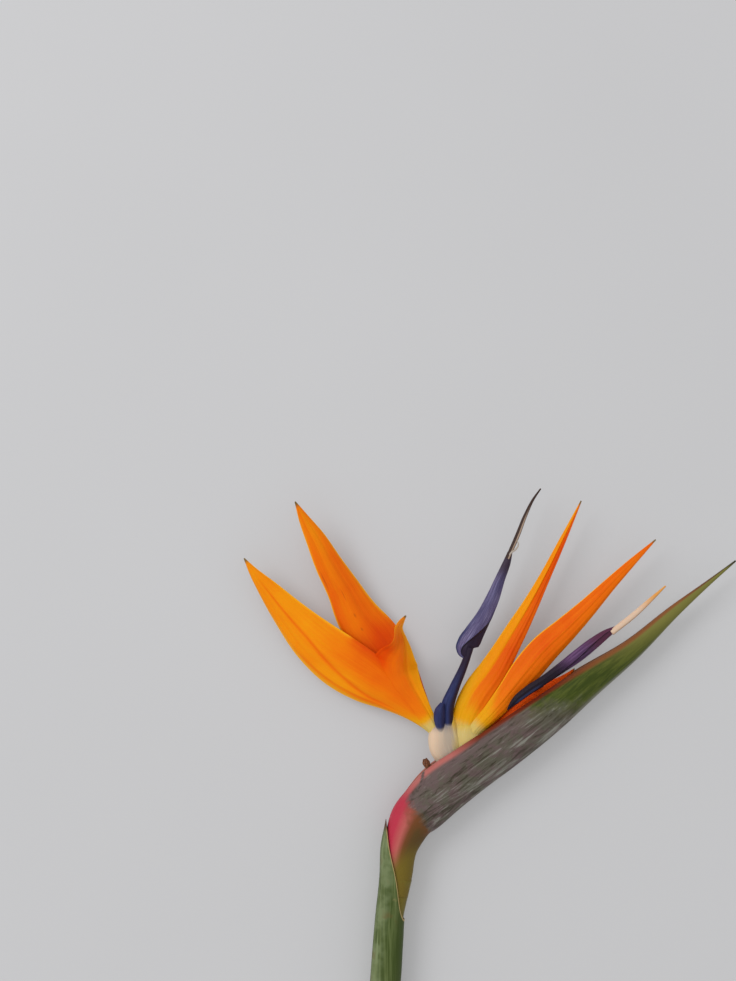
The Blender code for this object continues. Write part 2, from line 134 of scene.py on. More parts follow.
# The blue and the violet arrow: a round stalk of (x, y, z, radius) and a folded blade on it. barb
# is how far the left and right sides of the blade's foot run back past its middle.
TONGUES = {
    "flower_1_tongue": dict(
        stalk=[(18.2, 44.0, 9.4, 2.8), (18.1, 50.6, 9.6, 2.6), (18.1, 58.0, 10.2, 2.7),
               (20.7, 65.4, 10.9, 2.1), (24.4, 74.0, 11.6, 1.6), (27.4, 82.5, 12.4, 1.3)],
        blade=[(25.3, 78.6, 12.9, 0.9), (25.2, 79.6, 13.0, 2.7), (25.4, 81.0, 13.2, 3.9),
               (26.4, 83.4, 13.3, 4.4), (28.7, 87.5, 13.5, 4.0), (32.7, 94.4, 13.6, 3.2),
               (36.1, 101.6, 13.6, 2.7), (39.1, 109.4, 13.4, 2.0), (41.9, 116.3, 13.0, 1.5),
               (43.0, 119.9, 12.8, 1.0)],
        barb=(0.9, -3.2), cup=0.55, fold=1.2, keel=0.0, roll=(0, 0)),
    "flower_2_tongue": dict(
        stalk=[(28.7, 46.9, 8.6, 1.2), (35.4, 54.6, 8.4, 1.1), (43.8, 61.6, 8.8, 1.1),
               (49.8, 64.6, 8.9, 1.0), (53.3, 65.8, 11.6, 1.0), (55.6, 67.4, 15.6, 1.0)],
        blade=[(41.8, 57.4, 15.3, 0.3), (44.8, 60.9, 15.7, 1.5), (50.0, 65.1, 16.1, 1.9),
               (56.5, 69.4, 16.5, 1.9), (63.3, 74.2, 16.4, 2.2), (70.2, 79.2, 16.0, 2.6),
               (76.4, 84.0, 15.4, 2.4), (81.8, 87.9, 14.9, 1.7), (85.0, 89.7, 14.4, 1.0)],
        barb=(0.0, 0.0), cup=0.5, fold=1.2, keel=0.2, roll=(0, 0)),
}

# The small hood petals at the foot of each arrow, laid out as the sepals are.
HOODS = {
    "flower_1_hood_petal": dict(
        route=[(16.0, 46.4, 11.0, 0.9), (15.4, 49.6, 12.8, 1.7), (14.9, 53.4, 14.0, 2.3),
               (15.1, 57.0, 14.3, 2.1), (16.1, 60.0, 13.7, 0.9)],
        cup=0.75, fold=1.8, keel=0.0, roll=(0, 0)),
    "flower_2_hood_petal": dict(
        route=[(28.9, 48.2, 6.2, 0.9), (32.3, 50.9, 5.5, 1.2), (35.6, 53.6, 5.3, 1.2),
               (38.4, 56.0, 5.2, 0.5)],
        cup=0.5, fold=1.8, keel=0.0, roll=(0, 0)),
}

# The styles that run on from the arrows: x, y, z, radius.
STYLES = {
    "flower_1_style": [(41.9, 117.4, 12.9, 0.9), (45.9, 126.5, 12.6, 0.95),
                       (49.4, 135.2, 12.0, 0.75), (52.3, 141, 11.5, 0.5), (55.4, 145.4, 11.0, 0.3)],
    "flower_2_style": [(83.2, 88.0, 14.5, 1.2), (93, 95.7, 13.6, 1.2),
                       (99.8, 101.8, 12.9, 0.8), (105.1, 106.6, 12.4, 0.3)],
}

# The little dried curl at the top of the blue arrow: x, y, z, radius.
HOOK = [(42.4, 118.6, 13.1, 0.35), (43.6, 120.0, 13.5, 0.38), (45.2, 121.2, 13.8, 0.36),
        (46.2, 123.0, 14.0, 0.30), (45.8, 124.8, 14.0, 0.12)]

# Fleshy flower bases: (x, y, z, half depth in the plant's plane, half width across it).
BASES = {
    "flower_1_base": [(22.6, 31.4, 9.3, 2.2, 1.8), (20.4, 35.8, 9.3, 4.6, 2.8),
                      (18.0, 41.4, 9.3, 6.6, 3.5), (16.9, 46.2, 9.4, 6.3, 3.5),
                      (17.1, 50.2, 9.5, 5.0, 2.8), (17.6, 54.0, 9.6, 3.5, 2.1),
                      (18.2, 58.0, 9.8, 2.0, 1.5)],
    "flower_2_base": [(31.0, 35.2, 9.3, 2.2, 1.9), (28.6, 39.2, 9.3, 4.4, 2.9),
                      (26.8, 43.6, 9.2, 6.0, 3.4), (26.2, 47.6, 8.9, 5.8, 2.8),
                      (26.8, 51.4, 8.3, 4.4, 2.2), (28.0, 55.6, 7.6, 2.8, 1.5)],
}

# The crumpled scrap where the flowers leave the spathe, laid out as the sepals are.
DRIED_BRACT = dict(
    route=[(10.6, 33.9, 11.0, 1.2), (9.7, 35.7, 11.9, 1.5), (9.1, 37.5, 13.0, 0.8)],
    cup=0.6, fold=1.6, keel=0.0, roll=(0, 0))

# The spathe, from the sleeve that runs down over the stem to the point of the beak:
# x, y, half depth (rim to keel), half width, half slit between the lips, hollow (0 solid, 1 open).
SPATHE_STATIONS = [
    (-3.05, -17.0, 5.50, 5.50, 0.05, 0.02),
    (-1.9, -9.2, 5.98, 5.85, 0.10, 0.04),
    (-0.5, 2.0, 6.8, 6.3, 0.20, 0.04),
    (1.5, 7.8, 7.9, 6.7, 0.20, 0.04),
    (4.3, 13.3, 9.0, 7.2, 0.25, 0.05),
    (9.1, 18.1, 9.9, 7.4, 1.20, 0.30),
    (14.7, 23.9, 10.5, 7.6, 2.80, 0.70),
    (27.2, 33.4, 10.0, 6.8, 4.30, 1.00),
    (39.3, 41.8, 9.5, 6.8, 4.20, 1.00),
    (58.6, 55.8, 8.2, 6.2, 3.10, 1.00),
    (73.4, 67.4, 6.6, 5.2, 2.10, 1.00),
    (91.4, 80.6, 4.3, 3.4, 1.10, 0.90),
    (109.4, 96.8, 2.4, 2.0, 0.50, 0.50),
    (122.5, 107.6, 1.1, 1.0, 0.25, 0.10),
    (133.5, 116.5, 0.33, 0.35, 0.10, 0.05),
]
SPATHE_WALL = 1.2
SLEEVE = 7.9  # length of the sleeve below the neck
# How far down from the rim the coloured band of the lips begins, at shares of the spathe's length.
LIP_BAND = ([0.14, 0.20, 0.30, 0.36, 0.50, 0.62, 0.85, 1.0],
            [0.86, 0.84, 0.80, 0.87, 0.87, 0.62, 0.45, 0.4])
LIP_SCAR = (8.2, 31.5)  # middle of the thin red scar below the dried bract: x, y

# The stem from the cut to the neck, and what the sheath's upper end wraps: x, y, z, radius.
STEM_ROUTE = [
    (-17.0, -261.95, 4.8, 4.7), (-14.4, -186.35, 5.9, 4.7), (-10.8, -115.79, 7.0, 4.7),
    (-6.7, -52.79, 8.2, 4.79), (-4.3, -25.07, 8.9, 4.98), (-1.75, -9.95, 9.3, 5.83),
]
SHEATH_TOP = [(-1.6, -9.6, 9.3, 6.1), (-0.6, 2.0, 9.3, 6.8), (1.4, 14.0, 9.3, 7.1)]
SHEATH_FOOT_Y = -104.0  # where it grows from the stem
SHEATH_LOW_Y = -27.0    # low side of its mouth
SHEATH_TIP_Y = 13.0     # its point
SHEATH_GAP = 0.6        # between it and the stem
SHEATH_WALL = 0.8
SCARS = [(-2.6, -13.2, 0.9, 0.25), (-3.4, -17.9, 1.5, 0.28), (-2.4, -18.6, 0.8, 0.3),
         (-1.2, -10.2, 0.6, 0.3)]  # x, y, half length and half width of marks on the sheath

# The stage, in metres from the neck: what the camera looks down on, and the lamp.
VIEW_CENTRE = np.array([-0.0136, 0.1446, MIDDLE * MM])
LAMP_PLACE = VIEW_CENTRE + np.array([-0.9, 0.55, 1.15])
LAMP_TARGET = np.array([0.025, 0.070, 0.008])
LAMP_SIZE = 0.9
TABLE_REACH = 25.0
LENS = 85.0
SENSOR = 36.0

# Grids of the blades and rods (along, around), and rings in the dome at each end of a rod.
GRIDS = {"sepal": (240, 120), "arrow": (200, 120), "stalk": (100, 64), "hook": (40, 16),
         "hood": (80, 80), "style": (110, 48), "base": (90, 120), "stem": (240, 96),
         "bract": (40, 40)}
CAP_RINGS = 8


# ---------------------------------------------------------------- curves and surfaces

def run_length(points):
    """Distance along a line of points, from 0 at the first."""
    return np.concatenate([[0], np.cumsum(np.linalg.norm(np.diff(points, axis=0), axis=1))])


def smooth_curve(points, count):
    """Cubic Hermite curve through the points, at count places evenly along its length as seen from
    above. Columns after the first two, such as a radius, are carried along."""
    points = np.array(points, float)
    knots = run_length(points[:, :2])
    slopes = np.gradient(points, knots, axis=0)
    fine = np.linspace(0, knots[-1], 200 * len(points))
    span = np.clip(np.searchsorted(knots, fine, side="right") - 1, 0, len(knots) - 2)
    step = (knots[span + 1] - knots[span])[:, None]
    t = (fine[:, None] - knots[span][:, None]) / step
    curve = ((2 * t**3 - 3 * t**2 + 1) * points[span] + (t**3 - 2 * t**2 + t) * step * slopes[span]
             + (3 * t**2 - 2 * t**3) * points[span + 1] + (t**3 - t**2) * step * slopes[span + 1])
    length = run_length(curve[:, :2])
    places = np.linspace(0, 1, count) * length[-1]
    return np.stack([np.interp(places, length, column) for column in curve.T], axis=1)


def frames(route, calm=0):
    """Tangent, side (left of the tangent, level) and up vectors along a route. With calm, each
    tangent is the bell-weighted mean of that odd number of neighbours, so bends stay gentle."""
    tangent = np.gradient(route, axis=0)
    if calm:
        weights = np.hanning(calm + 2)[1:-1]
        padded = np.pad(tangent, ((calm // 2, calm // 2), (0, 0)), mode="edge")
        tangent = np.stack([np.convolve(column, weights / weights.sum(), "valid")
                            for column in padded.T], axis=1)
    tangent /= np.linalg.norm(tangent, axis=1)[:, None]
    side = np.cross([0.0, 0.0, 1.0], tangent)
    side /= np.linalg.norm(side, axis=1)[:, None]
    return tangent, side, np.cross(tangent, side)


def ease(x, low, high):
    """Smooth step from 0 at low to 1 at high."""
    t = np.clip((x - low) / (high - low), 0, 1)
    return t * t * (3 - 2 * t)


def ridge(x, centre, width):
    """Bell curve of height 1."""
    return np.exp(-((x - centre) / width) ** 2)


def shell_faces(n, m, first, looped):
    """Quads of an n x m grid that closes round its second index, and triangles that close its two
    ends on the points n * m and n * m + 1, each followed by the UVs of its corners. With looped,
    the last ring joins the first instead."""
    index = first + np.arange(n * m).reshape(n, m)
    rows = np.vstack([index, index[:1]]) if looped else index
    near, far = rows[:-1], rows[1:]
    quads = np.stack([near, np.roll(near, -1, 1), np.roll(far, -1, 1), far], -1).reshape(-1, 4)
    i = np.arange(len(near))[:, None] / len(near)
    j = np.arange(m)[None, :] / m
    di, dj = 1 / len(near), 1 / m
    corners = [(i + a * di + 0 * j, j + b * dj + 0 * i) for a, b in ((0, 0), (0, 1), (1, 1), (1, 0))]
    quad_uv = np.stack([np.stack(c, -1) for c in corners], 2).reshape(-1, 4, 2)
    if looped:
        return quads, quad_uv, np.zeros((0, 3), int), np.zeros((0, 3, 2))
    pole = np.full(m, first + n * m)
    start = np.stack([pole, np.roll(index[0], -1), index[0]], -1)
    end = np.stack([pole + 1, index[-1], np.roll(index[-1], -1)], -1)
    low, high = np.stack([0 * j[0], j[0]], -1), np.stack([0 * j[0], j[0] + dj], -1)
    tri_uv = np.concatenate([np.stack([low, high, low], 1), np.stack([low, low, high], 1) + [1, 0]])
    return quads, quad_uv, np.concatenate([start, end]), tri_uv


def inside_out(points, quads, tris):
    """Whether the faces of a closed shell point inwards: their signed volume is below zero."""
    every = np.concatenate([quads[:, :3], quads[:, [0, 2, 3]], tris])
    a, b, c = (points - points.mean(axis=0))[every.T]
    return np.einsum("ij,ij->i", a, np.cross(b, c)).sum() < 0


def skin(name, shells, finish, node):
    """One mesh object of closed shells, riding on the root body in place of the named solid.

    A shell is (rings, leaf) or (rings, leaf, True when its last ring joins its first): rings holds
    n x m points in millimetres from the neck, and leaf n x m rows for the finish to read: across,
    along, tone and foot.
    """
    gathered = []
    first = 0
    for rings, leaf, *looped in shells:
        points, marks = rings.reshape(-1, 3), leaf.reshape(-1, 4)
        if not looped:
            points = np.concatenate([points, rings[[0, -1]].mean(axis=1)])
            marks = np.concatenate([marks, leaf[[0, -1]].mean(axis=1)])
        faces = shell_faces(*rings.shape[:2], first, bool(looped))
        if inside_out(points, faces[0] - first, faces[2] - first):
            faces = [part[:, ::-1] for part in faces]
        gathered.append((points, marks, *faces))
        first += len(points)
    points, marks, quads, quad_uv, tris, tri_uv = (np.concatenate(part) for part in zip(*gathered))
    mesh = bpy.data.meshes.new(name)
    mesh.vertices.add(len(points))
    mesh.vertices.foreach_set("co", (points * MM + NECK).astype(np.float32).ravel())
    corners = np.concatenate([quads.ravel(), tris.ravel()])
    mesh.loops.add(len(corners))
    mesh.loops.foreach_set("vertex_index", corners.astype(np.int32))
    sizes = np.concatenate([[0], np.full(len(quads), 4), np.full(len(tris), 3)])
    mesh.polygons.add(len(quads) + len(tris))
    mesh.polygons.foreach_set("loop_start", np.cumsum(sizes)[:-1].astype(np.int32))
    uv = mesh.uv_layers.new(name="UVMap")
    mesh.update(calc_edges=True)
    places = np.concatenate([quad_uv.reshape(-1, 2), tri_uv.reshape(-1, 2)])
    uv.data.foreach_set("uv", places.astype(np.float32).ravel())
    marks = marks.astype(np.float32)
    leaf = mesh.attributes.new("leaf", "FLOAT_VECTOR", "POINT")
    leaf.data.foreach_set("vector", marks[:, :3].ravel())
    foot = mesh.attributes.new("foot", "FLOAT", "POINT")
    foot.data.foreach_set("value", np.ascontiguousarray(marks[:, 3]))
    mesh.validate()
    mesh.shade_smooth()
    obj = bpy.data.objects.new(name, mesh)
    bpy.context.scene.collection.objects.link(obj)
    mesh.materials.append(finish)
    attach(obj, "root")
    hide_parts(node)


def blade_shell(spec, thickness, along, around, relief=None, tone=None, foot=None, sag=None):
    """A closed leaf: its cross-section is a lens carried along the midline.

    Round the lens, v = cos(angle) runs across the blade and sin(angle) to the power 0.7 gives its
    half thickness. The middle surface falls from the keel as a power of the distance from it;
    relief(u, v) adds to its height in millimetres and sag(u, v) lowers it straight down. tone(u, v)
    and foot(millimetres along, u, v) are stored for the finish.
    """
    barb = spec.get("barb", (0.0, 0.0))
    u = np.linspace(0, 1, along)
    angle = np.linspace(0, 2 * np.pi, around, endpoint=False)
    v = np.cos(angle)[None, :]
    rise = (np.sign(np.sin(angle)) * np.abs(np.sin(angle)) ** 0.7)[None, :]
    table = smooth_curve(spec["route"], along)
    line, width = table[:, :3], np.maximum(table[:, 3:], 0.12)
    tangent, side, up = frames(line, spec.get("calm", 0))
    turn = np.radians(np.interp(u, [0, 1], spec["roll"]))[:, None]
    across_axis = np.cos(turn) * side + np.sin(turn) * up
    height_axis = np.cos(turn) * up - np.sin(turn) * side
    keel = spec["keel"]
    height = -spec["cup"] * width * (np.abs(v - keel) / (1 + abs(keel))) ** spec["fold"]
    uu = u[:, None]
    if relief is not None:
        height = height + relief(uu, v)
    body = 0.5 * thickness * np.minimum(1, width / 2.0) * rise
    reach = np.where(v > 0, barb[0], barb[1]) * np.abs(v) ** 1.5
    back = reach * np.clip(1 - uu / 0.3, 0, 1) ** 2
    rings = (line[:, None, :] + across_axis[:, None, :] * (width * v)[..., None]
             + height_axis[:, None, :] * (height + body)[..., None]
             - tangent[:, None, :] * back[..., None])
    if sag is not None:
        rings[..., 2] -= sag(uu, v)
    flat = np.zeros((along, around))
    leaf = np.stack([v + flat, uu + flat, flat if tone is None else tone(uu, v) + flat,
                     flat if foot is None else foot(run_length(line)[:, None], uu, v) + flat], -1)
    return rings, leaf


def rod_shell(route, along, around, start=0.3, end=0.3, flute=None, flat=1.0, depth_column=False):
    """A rod along a route of (x, y, z, radius), each end closed by a flattened dome.

    The dome is start or end millimetres deep: at angle a from 0 to a right angle its ring is
    sin(a) of the radius and 1 - cos(a) of the depth inwards. flute(u, angle) multiplies the radius.
    flat is the height of the section over its width; with depth_column, a fifth number of each
    point of the route is half that height instead.
    """
    table = smooth_curve(route, along)
    line, radius = table[:, :3], table[:, 3]
    tangent, side, up = frames(line)
    a = np.linspace(0.1, np.pi / 2, CAP_RINGS + 1)[:-1]

    def capped(values):
        return np.concatenate([values[0] * np.sin(a), values, (values[-1] * np.sin(a))[::-1]])
    before = line[0] + tangent[0] * (start * (1 - np.cos(a)))[:, None]
    after = (line[-1] - tangent[-1] * (end * (1 - np.cos(a)))[:, None])[::-1]
    line[0] += tangent[0] * start
    line[-1] -= tangent[-1] * end
    centre = np.vstack([before, line, after])
    size = capped(radius)
    height = capped(table[:, 4]) if depth_column else size * flat
    side = np.pad(side, ((CAP_RINGS, CAP_RINGS), (0, 0)), mode="edge")
    up = np.pad(up, ((CAP_RINGS, CAP_RINGS), (0, 0)), mode="edge")
    u = np.concatenate([np.zeros(CAP_RINGS), np.linspace(0, 1, along), np.ones(CAP_RINGS)])[:, None]
    angle = np.linspace(0, 2 * np.pi, around, endpoint=False)[None, :]
    grow = np.ones((len(u), around)) if flute is None else flute(u, angle)
    rings = (centre[:, None, :]
             + side[:, None, :] * (size[:, None] * grow * np.cos(angle))[..., None]
             + up[:, None, :] * (height[:, None] * grow * np.sin(angle))[..., None])
    cap = np.concatenate([1 - np.sin(a), np.zeros(along + CAP_RINGS)])[:, None]
    leaf = np.stack([np.cos(angle) + 0 * u, u + 0 * angle, cap + 0 * angle, 0 * u * angle], -1)
    return rings, leaf


# ---------------------------------------------------------------- finishes

class Finish:
    """A material under construction, with short names for the nodes its pattern needs."""

    def __init__(self, name, **constants):
        self.material = bpy.data.materials.new(name)
        self.material.use_nodes = True
        self.tree = self.material.node_tree
        self.tree.nodes.clear()
        self.out = self.tree.nodes.new("ShaderNodeOutputMaterial")
        self.shader = self.tree.nodes.new("ShaderNodeBsdfPrincipled")
        self.tree.links.new(self.shader.outputs[0], self.out.inputs["Surface"])
        for socket, value in constants.items():
            self.shader.inputs[socket.replace("_", " ")].default_value = value

    def node(self, kind, *inputs, **settings):
        """A node of a kind, its inputs linked or set in order and its settings set by name."""
        made = self.tree.nodes.new("ShaderNode" + kind)
        for key, value in settings.items():
            setattr(made, key, value)
        for socket, value in zip(made.inputs, inputs):
            if isinstance(value, bpy.types.NodeSocket):
                self.tree.links.new(value, socket)
            else:
                socket.default_value = value
        return made

    def leaf(self):
        """Across, along and tone of the surface."""
        read = self.node("Attribute", attribute_name="leaf")
        split = self.node("SeparateXYZ", read.outputs["Vector"])
        return split.outputs[0], split.outputs[1], split.outputs[2]

    def foot(self):
        """How far a point belongs to the foot (0 to 1); below 0, a dried fleck on a sepal or a line
        of painted shade along an arrow's fold.
        """
        return self.node("Attribute", attribute_name="foot").outputs["Fac"]

    def place(self, scale=1.0):
        """Object coordinates times a scale; 1000 gives millimetres."""
        where = self.node("TexCoord").outputs["Object"]
        return self.stretch(where, (scale, scale, scale))

    def stretch(self, vector, factors):
        """A vector with each of its parts multiplied by a factor."""
        return self.node("VectorMath", vector, factors, operation="MULTIPLY").outputs[0]

    def grain(self, across, along, scale_across, scale_along, third=0.0):
        """Place on a blade or rod, stretched so that noise read there runs lengthwise."""
        return self.node("CombineXYZ", self.times(across, scale_across),
                         self.times(along, scale_along), third).outputs[0]

    def math(self, operation, a, b=0.0, clamp=False):
        """A sum, product or other operation on two values."""
        return self.node("Math", a, b, operation=operation, use_clamp=clamp).outputs[0]

    def times(self, a, b):
        """Product of two values."""
        return self.math("MULTIPLY", a, b)

    def stray(self, value, noise, amount, clamp=False):
        """A value moved to either side by a noise, amount from end to end."""
        offset = self.times(self.math("SUBTRACT", noise, 0.5), amount)
        return self.math("ADD", value, offset, clamp)

    def step(self, x, low, high, out_low=0.0, out_high=1.0):
        """Smooth step of x from low to high, giving out_low to out_high."""
        made = self.node("MapRange", x, low, high, out_low, out_high,
                         interpolation_type="SMOOTHSTEP")
        return made.outputs[0]

    def noise(self, vector, scale, detail=3.0, roughness=0.5, distortion=0.0):
        """Noise about 0.5, with scale cycles for each unit of the vector."""
        made = self.node("TexNoise")
        self.tree.links.new(vector, made.inputs["Vector"])
        made.inputs["Scale"].default_value = scale
        made.inputs["Detail"].default_value = detail
        made.inputs["Roughness"].default_value = roughness
        made.inputs["Distortion"].default_value = distortion
        return made.outputs["Fac"]

    def ramp(self, x, stops):
        """Colour of x between stops of (place, colour)."""
        made = self.node("ValToRGB", x)
        bar = made.color_ramp
        while len(bar.elements) < len(stops):
            bar.elements.new(1.0)
        for element, (place, colour) in zip(bar.elements, stops):
            element.position = place
            element.color = (*colour[:3], 1.0)
        return made.outputs[0]

    def blend(self, amount, a, b):
        """Colour a where the amount is 0, turning into b where it is 1."""
        made = self.tree.nodes.new("ShaderNodeMix")
        made.data_type = "RGBA"
        for socket, value in zip((made.inputs[0], made.inputs[6], made.inputs[7]), (amount, a, b)):
            if isinstance(value, bpy.types.NodeSocket):
                self.tree.links.new(value, socket)
            elif socket.type == "RGBA":
                socket.default_value = (*value[:3], 1.0)
            else:
                socket.default_value = value
        return made.outputs[2]

    def done(self, colour, roughness=None, height=None, depth=0.0002, strength=1.0):
        """The material with its colour, and its roughness and bump height where given."""
        self.tree.links.new(colour, self.shader.inputs["Base Color"])
        if roughness is not None:
            self.tree.links.new(roughness, self.shader.inputs["Roughness"])
        if height is not None:
            bump = self.node("Bump")
            bump.inputs["Strength"].default_value = strength
            bump.inputs["Distance"].default_value = depth
            self.tree.links.new(height, bump.inputs["Height"])
            self.tree.links.new(bump.outputs[0], self.shader.inputs["Normal"])
        return self.material


def sepal_finish(s):
    """Waxy orange flesh: cream and yellow at the foot, fine parallel veins, paler margins that are
    partly painted highlight, and a dried brown point. The tone of the surface runs from bright (0)
    to deep (1) orange and carries the painted light and shade of sepal_tone."""
    f = Finish("sepal_flesh", Roughness=0.5, Specular_IOR_Level=0.07, Subsurface_Weight=0.08,
               Subsurface_Radius=(1.0, 0.35, 0.02), Subsurface_Scale=0.0015)
    across, along, tone = f.leaf()
    foot = f.foot()
    lines = f.grain(across, along, 9.0, 1.3)
    veins = f.noise(lines, 3.0, 3.0, 0.6)
    fine = f.noise(lines, 9.0, 2.0, 0.5)
    broad = f.noise(f.place(1000.0), 0.06, 2.0)
    deep = f.stray(tone, veins, 0.50)
    deep = f.stray(deep, fine, 0.22)
    deep = f.stray(deep, broad, 0.55, clamp=True)
    colour = f.ramp(deep, [(0.0, s.bright), (0.5, s.middle), (1.0, s.deep)])
    # Paler margin where the tone is bright: the thin margin's own colour, and a painted highlight
    # where sepal_tone brightens it.
    edge = f.times(f.step(f.math("ABSOLUTE", across), 0.88, 1.0),
                   f.step(tone, 0.75, 0.35, 0.0, 0.75))
    colour = f.blend(edge, colour, s.margin)
    spread = f.stray(foot, veins, 0.55)
    colour = f.blend(f.step(spread, 0.02, 0.55), colour, s.yellow)
    colour = f.blend(f.step(spread, 0.52, 1.05), colour, s.cream)
    colour = f.blend(f.step(foot, -0.2, -0.9), colour, s.fleck)
    colour = f.blend(f.step(along, 0.972, 0.995), colour, s.dried)
    return f.done(colour, height=f.math("ADD", veins, f.times(fine, 0.4)),
                  depth=0.0003, strength=0.35)


def base_finish(s):
    """Smooth flesh with faint lengthwise ribs. The tone runs along the fan of the two bases: peach
    on the left, greyish under the blue stalk as painted shade, cream towards the beak. The foot
    value is 1 at the top, where the flesh takes on the dusk of the stalk, a painted shade, or the
    yellow of the sepals."""
    f = Finish("base_flesh", Roughness=0.5, Specular_IOR_Level=0.12, Subsurface_Weight=0.2,
               Subsurface_Radius=(1.0, 0.6, 0.4), Subsurface_Scale=0.002)
    across, along, tone = f.leaf()
    ribs = f.noise(f.grain(across, along, 5.0, 1.0), 2.0, 5.0, 0.6)
    place = f.stray(tone, ribs, 0.25)
    flesh = f.ramp(place, [(0.12, s.peach), (0.36, s.grey), (0.48, s.grey), (0.62, s.cream),
                           (1.0, s.cream)])
    flesh = f.blend(f.step(ribs, 0.52, 0.70, 0.0, 0.45), flesh, s.pale)
    # Painted shade (dusk) at the top under the blue stalk; yellow under the sepals.
    top = f.blend(f.step(place, 0.42, 0.56), s.dusk, s.yellow)
    colour = f.blend(f.step(f.foot(), 0.0, 1.0), flesh, top)
    return f.done(colour, height=ribs, depth=0.0003, strength=0.3)


def petal_finish(name, night, dark, face, streak_colour, tip_colour, foot_colour, fold_shade_colour):
    """Velvety petal with fine lengthwise streaks. Tone runs from nearly black (0) over the dark blue
    (0.2) to the pale face (1); on the blue arrow the nearly black is painted shade. A foot above 0
    fades to the flesh of the base, and below 0 to a black line of painted shade along the fold."""
    f = Finish(name, Roughness=0.36, Specular_IOR_Level=0.16)
    across, along, tone = f.leaf()
    foot = f.foot()
    streak = f.noise(f.grain(across, along, 5.0, 1.3, tone), 3.0, 5.0, 0.7)
    pale = f.blend(f.step(streak, 0.44, 0.66), face, streak_colour)
    dusk = f.blend(f.step(streak, 0.40, 0.70), dark, tuple(1.9 * c for c in dark))
    colour = f.blend(f.step(tone, 0.0, 0.2), night, dusk)
    colour = f.blend(f.step(tone, 0.15, 1.0), colour, pale)
    tip = f.times(f.step(tone, 0.25, 0.5), f.step(along, 0.70, 0.88))
    colour = f.blend(f.times(tip, 0.85), colour, tip_colour)
    colour = f.blend(f.step(foot, 0.0, 1.0), colour, foot_colour)
    # Painted shade: a black line along the fold.
    colour = f.blend(f.step(foot, 0.0, -0.8), colour, fold_shade_colour)
    return f.done(colour, height=streak, depth=0.0004, strength=0.5)


def dried_style_finish(s):
    """Dark dried style with a broken tan streak along its lower two thirds."""
    f = Finish("dried_style", Roughness=0.5, Specular_IOR_Level=0.2)
    across, along, _ = f.leaf()
    grain = f.noise(f.grain(across, along, 3.0, 3.0), 2.0)
    stripe = f.step(f.math("ABSOLUTE", f.math("ADD", across, 0.45)), 0.45, 0.15)
    stripe = f.times(stripe, f.step(along, 0.80, 0.45))
    colour = f.blend(f.times(stripe, f.step(grain, 0.25, 0.5)), s.brown, s.tan)
    return f.done(colour, height=grain, depth=0.0003, strength=0.6)


def fresh_style_finish(s):
    """Cream style that turns orange towards its point, with brown painted shade along its right
    side.
    """
    f = Finish("fresh_style", Roughness=0.4, Specular_IOR_Level=0.15, Subsurface_Weight=0.15,
               Subsurface_Radius=(1.0, 0.5, 0.3), Subsurface_Scale=0.001)
    across, along, _ = f.leaf()
    grain = f.noise(f.grain(across, along, 3.0, 3.0), 2.0)
    shift = f.stray(along, grain, 0.2)
    colour = f.ramp(shift, [(0.0, s.cream), (0.50, s.cream), (0.80, s.tip), (1.0, s.tip)])
    # Painted shade along the right side.
    colour = f.blend(f.step(across, -0.3, -0.95, 0.0, 0.55), colour, s.side)
    return f.done(colour, height=grain, depth=0.0002, strength=0.4)


